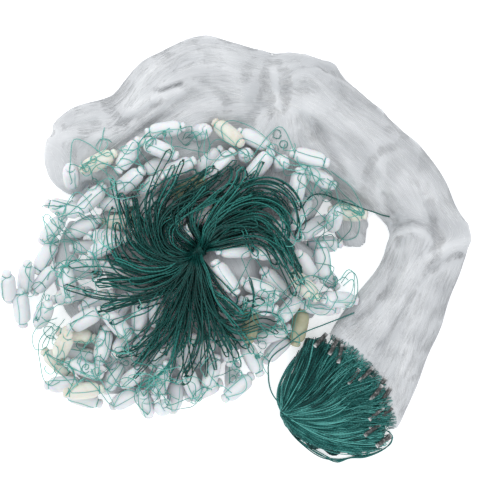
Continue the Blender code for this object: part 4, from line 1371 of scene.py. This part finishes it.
def laySinkers():
    sinker = makeSinker()
    for number in range(1, sinkers["in the frame"] + 1):
        node = f"lead_{number:02d}"
        middle, along = poseOfNode(node)
        piece = laySinker(sinker, f"sinker{number:02d}", middle, -along if along.z < 0 else along)
        dress(piece, sinkerLead, "lead", node)
    extra = []
    for number, (x, y, heading) in enumerate(fan["more sinkers"]):
        # flat onto what lies under it
        spot, along = plan(x, y), headed(heading, 0)
        low, high = (fanOrSkin(spot + along * share * sinkers["length"])
                     for share in (-0.4, 0.4))
        rise = (high - low) / (0.8 * sinkers["length"])
        along.z = max(-sinkers["steepest"], min(sinkers["steepest"], rise))
        along.normalize()
        spot += Vector((0, 0, (low + high) / 2 + 0.0006))
        extra.append(laySinker(sinker, f"extra{number}", spot, along))
    dress(joinAll("moreSinkers", extra), sinkerLead, "lead")
    bpy.data.objects.remove(sinker)


laySinkers()
print("sinkers laid")


# lashings: a turn of thin twine in each float's grooves and a run between them
lashing = {"radius": 0.00055, "groove": 0.371, "turns": 2, "steps": 9, "knots": 0.7,
           "knot": 0.0017, "knot radius": 0.0005, "knots lie above": 0.0062}
grooveAway = floats["length"] * lashing["groove"]


def lashFloat(middle, along):
    turn = turnAlong(along)
    # the run lies on the float's upper side
    phase = math.pi / 2 + 0.9 * (dice.random() - 0.5) * 2
    points = []

    def put(x, angle, lift):
        wide = between(floats["profile"], 0.5 + x / floats["length"])
        reach = wide * floats["radius"] + lashing["radius"] * lift
        points.append(middle + turn @ Vector((x, reach * math.cos(angle),
                                              reach * math.sin(angle))))

    wound, steps = lashing["turns"], lashing["steps"]
    for k in range(wound * steps):
        put(-grooveAway + 0.0004 * math.sin(k), phase + 2 * math.pi * (k / steps - wound), 0.9)
    drift = 0.5 * (dice.random() - 0.5)
    for k in range(1, 12):
        share = k / 12
        put(grooveAway * (2 * share - 1), phase + drift * math.sin(math.pi * share), 1.15)
    for k in range(1, wound * steps + 1):
        put(grooveAway + 0.0004 * math.sin(k), phase + 2 * math.pi * k / steps, 0.9)
    return np.array(points)


def knotLine(middle, size):
    # an overhand knot, pulled up and turned any way
    turn = turnAlong(Vector((dice.normal(), dice.normal(), dice.normal())))
    points = []
    for k in range(13):
        t = 2 * math.pi * k / 13
        points.append(Vector(middle) + turn @ (size * Vector((
            (math.sin(t) + 2 * math.sin(2 * t)) / 3, (math.cos(t) - 2 * math.cos(2 * t)) / 3,
            -math.sin(3 * t) / 2))))
    return np.array(points)


def layLashings():
    wraps = np.array([lashFloat(*place) for place in floatPlaces])
    tones = 0.25 + 0.5 * dice.random(len(wraps))
    knots = []
    for middle, along in floatPlaces:
        for sense in (1, -1):
            if dice.random() < lashing["knots"]:
                spot = middle + along * sense * grooveAway
                spot += Vector((0, 0, lashing["knots lie above"]))
                knots.append(knotLine(spot, lashing["knot"]))
    dress(sweep("floatLashings", [
        (wraps, lashing["radius"], tones),
        (knots, lashing["knot radius"], 0.2 + 0.4 * dice.random(len(knots)))]),
        lashingTwine, "lead_twine")


layLashings()


# slack: thin twine that runs from float to float, in loops round the heap's edge
slack = {
    "runs": 110, "radius": 0.0006, "shortest": 0.012, "longest": 0.075,
    "steps": 26, "loop steps": 44, "ripple": (0.0003, 1.5), "rounds": 24, "stiff": 0.8,
    # no slack lies where more points of the hank than this are so near
    "hank thick": 7, "hank near": 0.005,
    # plan x, plan y, spread in steps and strands of each tangle
    "tangles": [
        (88, 172, 10, 5), (100, 158, 9, 4), (66, 212, 8, 4), (58, 232, 8, 4), (62, 268, 9, 4),
        (48, 290, 8, 3), (70, 300, 8, 3), (44, 322, 8, 3), (54, 340, 9, 4), (60, 365, 8, 4),
        (92, 345, 10, 5), (90, 372, 9, 5), (118, 352, 10, 5), (140, 372, 9, 5), (165, 380, 9, 4),
        (205, 384, 9, 4), (236, 372, 8, 4), (262, 352, 8, 4), (285, 330, 9, 4), (312, 306, 8, 4),
        (335, 285, 7, 4), (322, 236, 8, 4), (330, 196, 9, 4), (312, 172, 9, 4), (280, 146, 8, 4),
        (196, 142, 8, 4), (150, 150, 9, 4), (150, 180, 10, 4), (118, 190, 9, 4), (104, 232, 9, 4),
        (110, 300, 9, 4), (262, 300, 9, 4), (170, 138, 7, 3)],
    # plan points of the loops that stand out from the heap, out on the floor or the netting
    "loops": [
        [(341, 283), (350, 272), (356, 276), (357, 290), (350, 305), (343, 304)],
        [(340, 280), (348, 270), (354, 274), (352, 288), (344, 298), (336, 300)],
        [(343, 286), (352, 279), (354, 288), (350, 300), (342, 309)],
        [(57, 318), (42, 324), (33, 336), (36, 349), (47, 347), (52, 334), (62, 326)],
        [(52, 326), (40, 340), (40, 356), (43, 374), (52, 384), (62, 380)],
        [(60, 240), (50, 226), (44, 219), (48, 214), (57, 222), (62, 236)],
        [(95, 181), (96, 172), (104, 166), (114, 168), (121, 178)],
        [(130, 148), (124, 150), (130, 156), (146, 147), (160, 137), (175, 134)],
        [(186, 140), (197, 134), (203, 141), (200, 150)], [(95, 195), (80, 208), (63, 222)],
        [(33, 262), (28, 270), (34, 282)],
        [(224, 142), (222, 130), (232, 123), (250, 128), (266, 140), (274, 150)],
        [(266, 148), (282, 158), (300, 166), (322, 170), (330, 176)],
        [(325, 180), (338, 190), (352, 202), (362, 212), (358, 216), (346, 208)],
        [(330, 172), (346, 184), (356, 198), (362, 214)],
        [(336, 232), (344, 240), (356, 236), (358, 222), (350, 214)],
        [(308, 168), (316, 186), (330, 198), (347, 206), (358, 214)],
        [(76, 384), (62, 372), (52, 362), (47, 350)], [(268, 352), (262, 362), (268, 374)]],
}


hankTree = KDTree(hankLines.shape[0] * hankLines.shape[1])
for index, spot in enumerate(hankLines.reshape(-1, 3)):
    hankTree.insert((spot[0], spot[1], 0), index)
hankTree.balance()


def clear(line):
    # whether a line keeps off the places where the hank's turns lie thick
    near, thick = slack["hank near"], slack["hank thick"]
    return all(len(hankTree.find_range((x, y, 0), near)) <= thick for x, y in line)


def slackRuns():
    # from one float's groove to another's
    ends = [middle + along * sense * floats["length"] * lashing["groove"]
            for middle, along in floatPlaces for sense in (1, -1)]
    plans = []
    while len(plans) < slack["runs"]:
        a, b = (ends[dice.integers(len(ends))] for _ in range(2))
        gap = (a - b).xy.length
        if not slack["shortest"] < gap < slack["longest"] or not clear([((a + b) / 2).xy]):
            continue
        run = np.array((b - a).xy)
        across = np.array((-run[1], run[0])) / gap
        belly = gap * (0.15 + 0.45 * dice.random()) * (1 if dice.random() < 0.5 else -1)
        second = gap * 0.35 * (dice.random() - 0.5)
        a = np.array(a.xy)
        line = smoothLine([a, a + 0.25 * run + across * belly,
                           a + 0.55 * run + across * (belly * 0.7 + second),
                           a + 0.85 * run + across * second, np.array(b.xy)], slack["steps"])
        if clear(line[2:-2:2]):
            plans.append(line)
    return np.array(plans)


def tangleRuns():
    plans = []
    for x, y, spread, count in slack["tangles"]:
        for _ in range(count):
            heading, turn = 6.28 * dice.random(), 0.75 * dice.normal()
            knots = [np.array((x, y)) + 0.5 * spread * dice.normal(size=2)]
            for _ in range(6):
                heading += turn + 0.25 * dice.normal()
                step = spread * (0.3 + 0.3 * dice.random())
                knots.append(knots[-1] + step * np.array((math.cos(heading), math.sin(heading))))
            line = planLine(knots, slack["steps"])
            if clear(line[::2]):
                plans.append(line)
    return np.array(plans)


def laySlack():
    def lay(plans):
        return slackOver(ripple(plans, *slack["ripple"]), slack["radius"], slack["rounds"],
                         slack["stiff"])

    laid = lay(np.concatenate([slackRuns(), tangleRuns()]))
    loose = lay(np.array([planLine(rows, slack["loop steps"]) for rows in slack["loops"]]))
    dress(sweep("slackTwine", [
        (laid, slack["radius"], 0.75 * dice.random(len(laid))),
        (loose, slack["radius"], 0.2 + 0.5 * dice.random(len(loose)))]),
        lashingTwine, "lead_twine")


laySlack()


# knots at the hank's ends and its tie
def layKnots():
    knots, tones = [], []
    for line in hankLines:
        if dice.random() < hank["knots"]:
            knots.append(knotLine(line[hank["steps"] // 2], hank["knot"]))
            tones.append(0.15 + 0.3 * dice.random())
    spot = plan(*hank["tie"], tieHeight)
    coils = [tieCoils(spot + Vector((0.0035 * k, 0.003 * k, 0)), (1, 0.85 - 0.25 * k, 0.1 * k),
                      hank["tie radius"] + 0.0008 + 0.0004 * k, 0.0008, 3, 0.2 + 0.2 * k)
             for k in (0, 1)]
    dress(sweep("hankKnots", [(knots, hank["knot radius"], tones), *coils], sides=5),
          floatTwine, "float_twine")


layKnots()
print("lashings, slack and knots laid")
